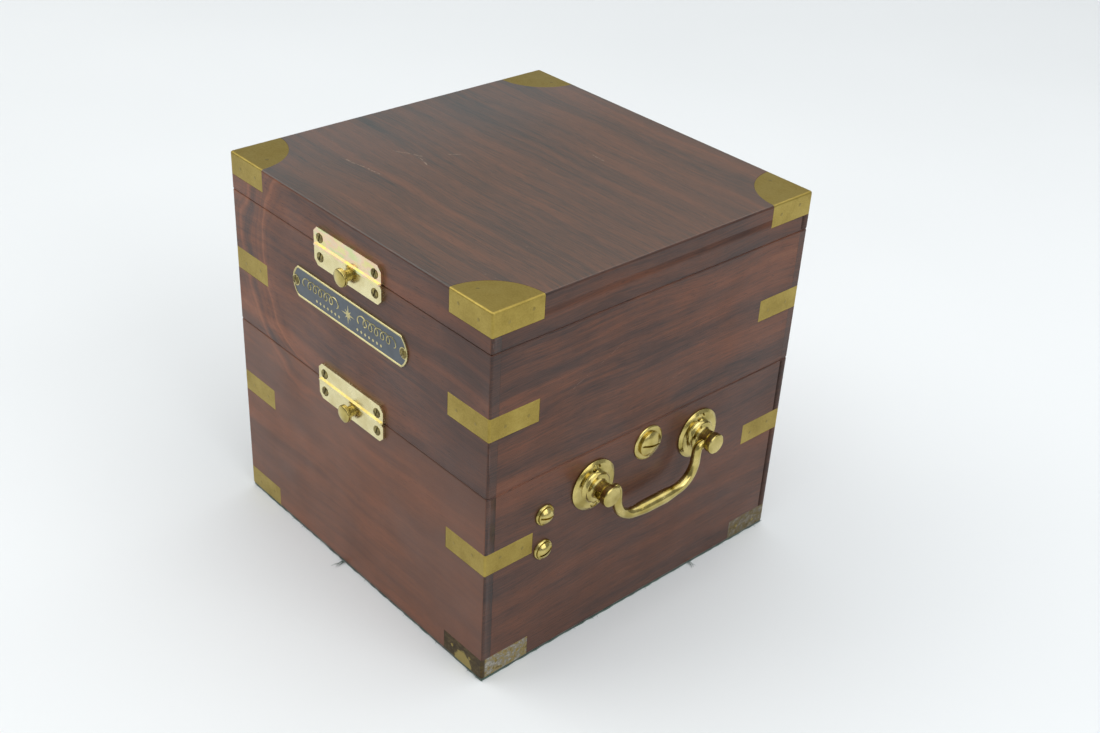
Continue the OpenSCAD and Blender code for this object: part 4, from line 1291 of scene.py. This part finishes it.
def number(text, centre, size):
    """A printed number on the dial, centred on a point."""
    data = bpy.data.curves.new("number", "FONT")
    data.body = text
    data.size = size * MM
    data.extrude = INK * MM / 2
    data.align_x, data.align_y = "CENTER", "CENTER"
    data.resolution_u = 3
    obj = bpy.data.objects.new("number", data)
    bpy.context.scene.collection.objects.link(obj)
    bpy.context.view_layer.update()
    mesh = obj.evaluated_get(bpy.context.evaluated_depsgraph_get()).to_mesh()
    made = bmesh.new()
    made.from_mesh(mesh)
    bmesh.ops.translate(made, verts=made.verts, vec=(centre[0] * MM, centre[1] * MM, DIAL_TOP + INK * MM / 2))
    bpy.data.objects.remove(obj)
    bpy.data.curves.remove(data)
    return made


def small_numbers(centre, radius, size, start, sweep_by, words):
    made = []
    for i, word in enumerate(words):
        angle = math.radians(start + sweep_by * i)
        spot = (centre[0] + radius * math.cos(angle), centre[1] + radius * math.sin(angle))
        made.append(number(word, spot, size))
    return made


def dial_face():
    made = bmesh.new()
    ink_ring(made, (0, 0), 47.6, 0.28)
    ink_ring(made, (0, 0), 44.9, 0.28)
    ticks(made, (0, 0), 44.9, 47.6, 60, 0.24)
    for hour, word in enumerate(ROMAN):
        angle = math.radians(90 - 30 * hour)
        if hour not in (6, 0):
            roman(made, word, angle, 35.6, 7.8)
    roman(made, "XII", math.radians(90), 36.4, 7.0)
    roman(made, "VI", math.radians(270), 38.4, 4.8)
    for centre, radius in ((SECONDS_AT, 12.4), (UP_DOWN_AT, 10.4)):
        ink_ring(made, centre, radius, 0.22)
    ink_ring(made, SECONDS_AT, 10.9, 0.18)
    ticks(made, SECONDS_AT, 10.9, 12.4, 60, 0.15)
    ink_ring(made, UP_DOWN_AT, 9.2, 0.18, 225, -45)
    ticks(made, UP_DOWN_AT, 9.2, 10.4, 28, 0.15, 225, -270, 4, 0.4)
    seconds = [str(10 * i or 60) for i in range(6)]
    hours_left = [str(8 * i) for i in range(8)]
    made = joined(
        made, *small_numbers(SECONDS_AT, 8.7, 2.7, 90, -60, seconds),
        *small_numbers(UP_DOWN_AT, 7.3, 1.9, 225, -270 / 7, hours_left),
    )
    return piece("dial_markings", made, "bowl", BLACK)


# ---- baize under the box ----

def baize_pad():
    """The baize with an edge that isn't quite straight, and threads that have worked loose."""
    node = "base_felt"
    low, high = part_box(node)
    side = high.x
    count = 64
    ring = []
    for turn in range(4):
        c, s = math.cos(math.pi / 2 * turn), math.sin(math.pi / 2 * turn)
        for i in range(count):
            x = -side + 2 * side * i / count
            y = -side + dice.uniform(-0.25, 0.3) * MM
            ring.append((x * c - y * s, x * s + y * c))
    made = bmesh.new()
    lower = [made.verts.new((x, y, low.z)) for x, y in ring]
    upper = [made.verts.new((x, y, high.z)) for x, y in ring]
    skin(made, lower, upper)
    made.faces.new(upper)
    made.faces.new(lower[::-1])
    threads = []
    for _ in range(60):
        x, y = dice.choice(ring)
        threads.append(thread(Vector((x, y, dice.uniform(0.1, 0.8) * MM)), dice.uniform(0.6, 1.4)))
    for _ in range(7):
        start = Vector((dice.uniform(-13, -11) * MM, -HALF, 0.5 * MM))
        threads.append(thread(start, dice.uniform(3, 5.5), 0.11))
    for _ in range(5):
        start = Vector((HALF, dice.uniform(38, 41) * MM, 0.5 * MM))
        threads.append(thread(start, dice.uniform(2, 3.5), 0.10))
    made = joined(made, *threads)
    return stand_in("baize_pad", made, node, BAIZE)


def thread(start, length, thick=0.07):
    """A loose thread that leaves the edge and bends down to the table."""
    out = Vector((start.x, 0, 0)) if abs(start.x) > abs(start.y) else Vector((0, start.y, 0))
    out.normalize()
    drift = Vector((dice.uniform(-1, 1), dice.uniform(-1, 1), 0)) * 0.5
    points = []
    for i in range(6):
        t = i / 5
        spot = start / MM + (out + drift * t) * length * t
        spot.z = max(thick, start.z / MM * (1 - t) + thick + 0.4 * math.sin(3 * t) * dice.uniform(0, 1))
        points.append(spot)
    return sweep(points, [thick * (1 - 0.5 * i / 5) for i in range(6)], 5)


# ---- bails ----

def bail(side):
    """A swan-neck bail: thin necks out of the posts, round bends, and a bar that swells at the middle."""
    node = f"{side}_bail"
    x = (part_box(node)[0].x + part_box(node)[1].x) / 2 / MM
    half_path = [
        (35.5, 0, 2.0), (30, 0, 2.0), (28.2, 0, 2.0), (26.6, -0.6, 2.1), (25.8, -2.6, 2.3), (25.5, -6, 2.35),
        (25.0, -10.5, 2.4), (22.4, -15.6, 2.5), (17.6, -19.0, 2.6), (12.6, -20.0, 2.75),
        (8.5, -20.2, 3.15), (5, -20.3, 3.3), (0, -20.3, 3.3),
    ]
    there = [(-y, z, r) for y, z, r in reversed(half_path)][1:]
    path = curve_through(half_path + there)
    made = sweep([(x, y, HANDLE_Z / MM + z) for y, z, r in path], [r for y, z, r in path], 28)
    return piece(f"{side}_bail_bar", made, node, GOLDEN, [node])


# ---- studio ----

CAMERA_AIM = Vector((16.1, 10.9, 88.3)) * MM
CAMERA_AZIMUTH = math.radians(46.64)
CAMERA_ELEVATION = math.radians(31.59)
CAMERA_ROLL = math.radians(-3.318)
CAMERA_AWAY = 716.4 * MM
CAMERA_LENS = 47.41


def camera():
    flat = math.cos(CAMERA_ELEVATION)
    forward = Vector((
        -math.sin(CAMERA_AZIMUTH) * flat, math.cos(CAMERA_AZIMUTH) * flat, -math.sin(CAMERA_ELEVATION),
    ))
    level = forward.cross(Vector((0, 0, 1))).normalized()
    right = level * math.cos(CAMERA_ROLL) + forward.cross(level) * math.sin(CAMERA_ROLL)
    up = right.cross(forward)
    data = bpy.data.cameras.new("camera")
    data.lens = CAMERA_LENS
    data.sensor_width = 36
    data.clip_start = 0.01
    obj = bpy.data.objects.new("camera", data)
    turn = Matrix((right, up, -forward)).transposed().to_4x4()
    obj.matrix_world = Matrix.Translation(CAMERA_AIM - forward * CAMERA_AWAY) @ turn
    bpy.context.scene.collection.objects.link(obj)
    bpy.context.scene.camera = obj


def soft_light(name, place, size, power, colour=(1, 1, 1)):
    data = bpy.data.lights.new(name, "AREA")
    data.shape = "RECTANGLE"
    data.size, data.size_y = size
    data.energy = power
    data.color = colour
    obj = bpy.data.objects.new(name, data)
    obj.location = place
    aim = Vector((0, 0, TOP / 2)) - Vector(place)
    obj.rotation_euler = aim.to_track_quat("-Z", "Y").to_euler()
    bpy.context.scene.collection.objects.link(obj)


def studio():
    made = bmesh.new()
    bmesh.ops.create_grid(made, x_segments=1, y_segments=1, size=4)
    mesh = bpy.data.meshes.new("floor")
    made.to_mesh(mesh)
    made.free()
    mesh.materials.append(pale_floor())
    floor = bpy.data.objects.new("floor", mesh)
    floor.location.z = -0.0002
    bpy.context.scene.collection.objects.link(floor)
    soft_light("key", (-1.1, -1.0, 1.4), (1.6, 1.4), 14, (1.0, 0.99, 0.97))
    soft_light("overhead", (0.2, 0.3, 2.0), (3.4, 3.4), 44, (0.98, 0.99, 1.0))
    soft_light("fill", (1.7, 0.1, 1.1), (1.4, 1.4), 13, (0.97, 0.98, 1.0))
    world = bpy.data.worlds.new("studio")
    world.use_nodes = True
    sky = world.node_tree.nodes["Background"]
    sky.inputs["Color"].default_value = (0.93, 0.96, 1.0, 1)
    sky.inputs["Strength"].default_value = 0.36
    bpy.context.scene.world = world
    bpy.context.scene.view_settings.view_transform = "Standard"


camera()
studio()
wooden_box()
flush_brass()
plain_parts()
turned_parts()
nameplate()
dial_face()
baize_pad()
for hand in ("right", "left"):
    bail(hand)
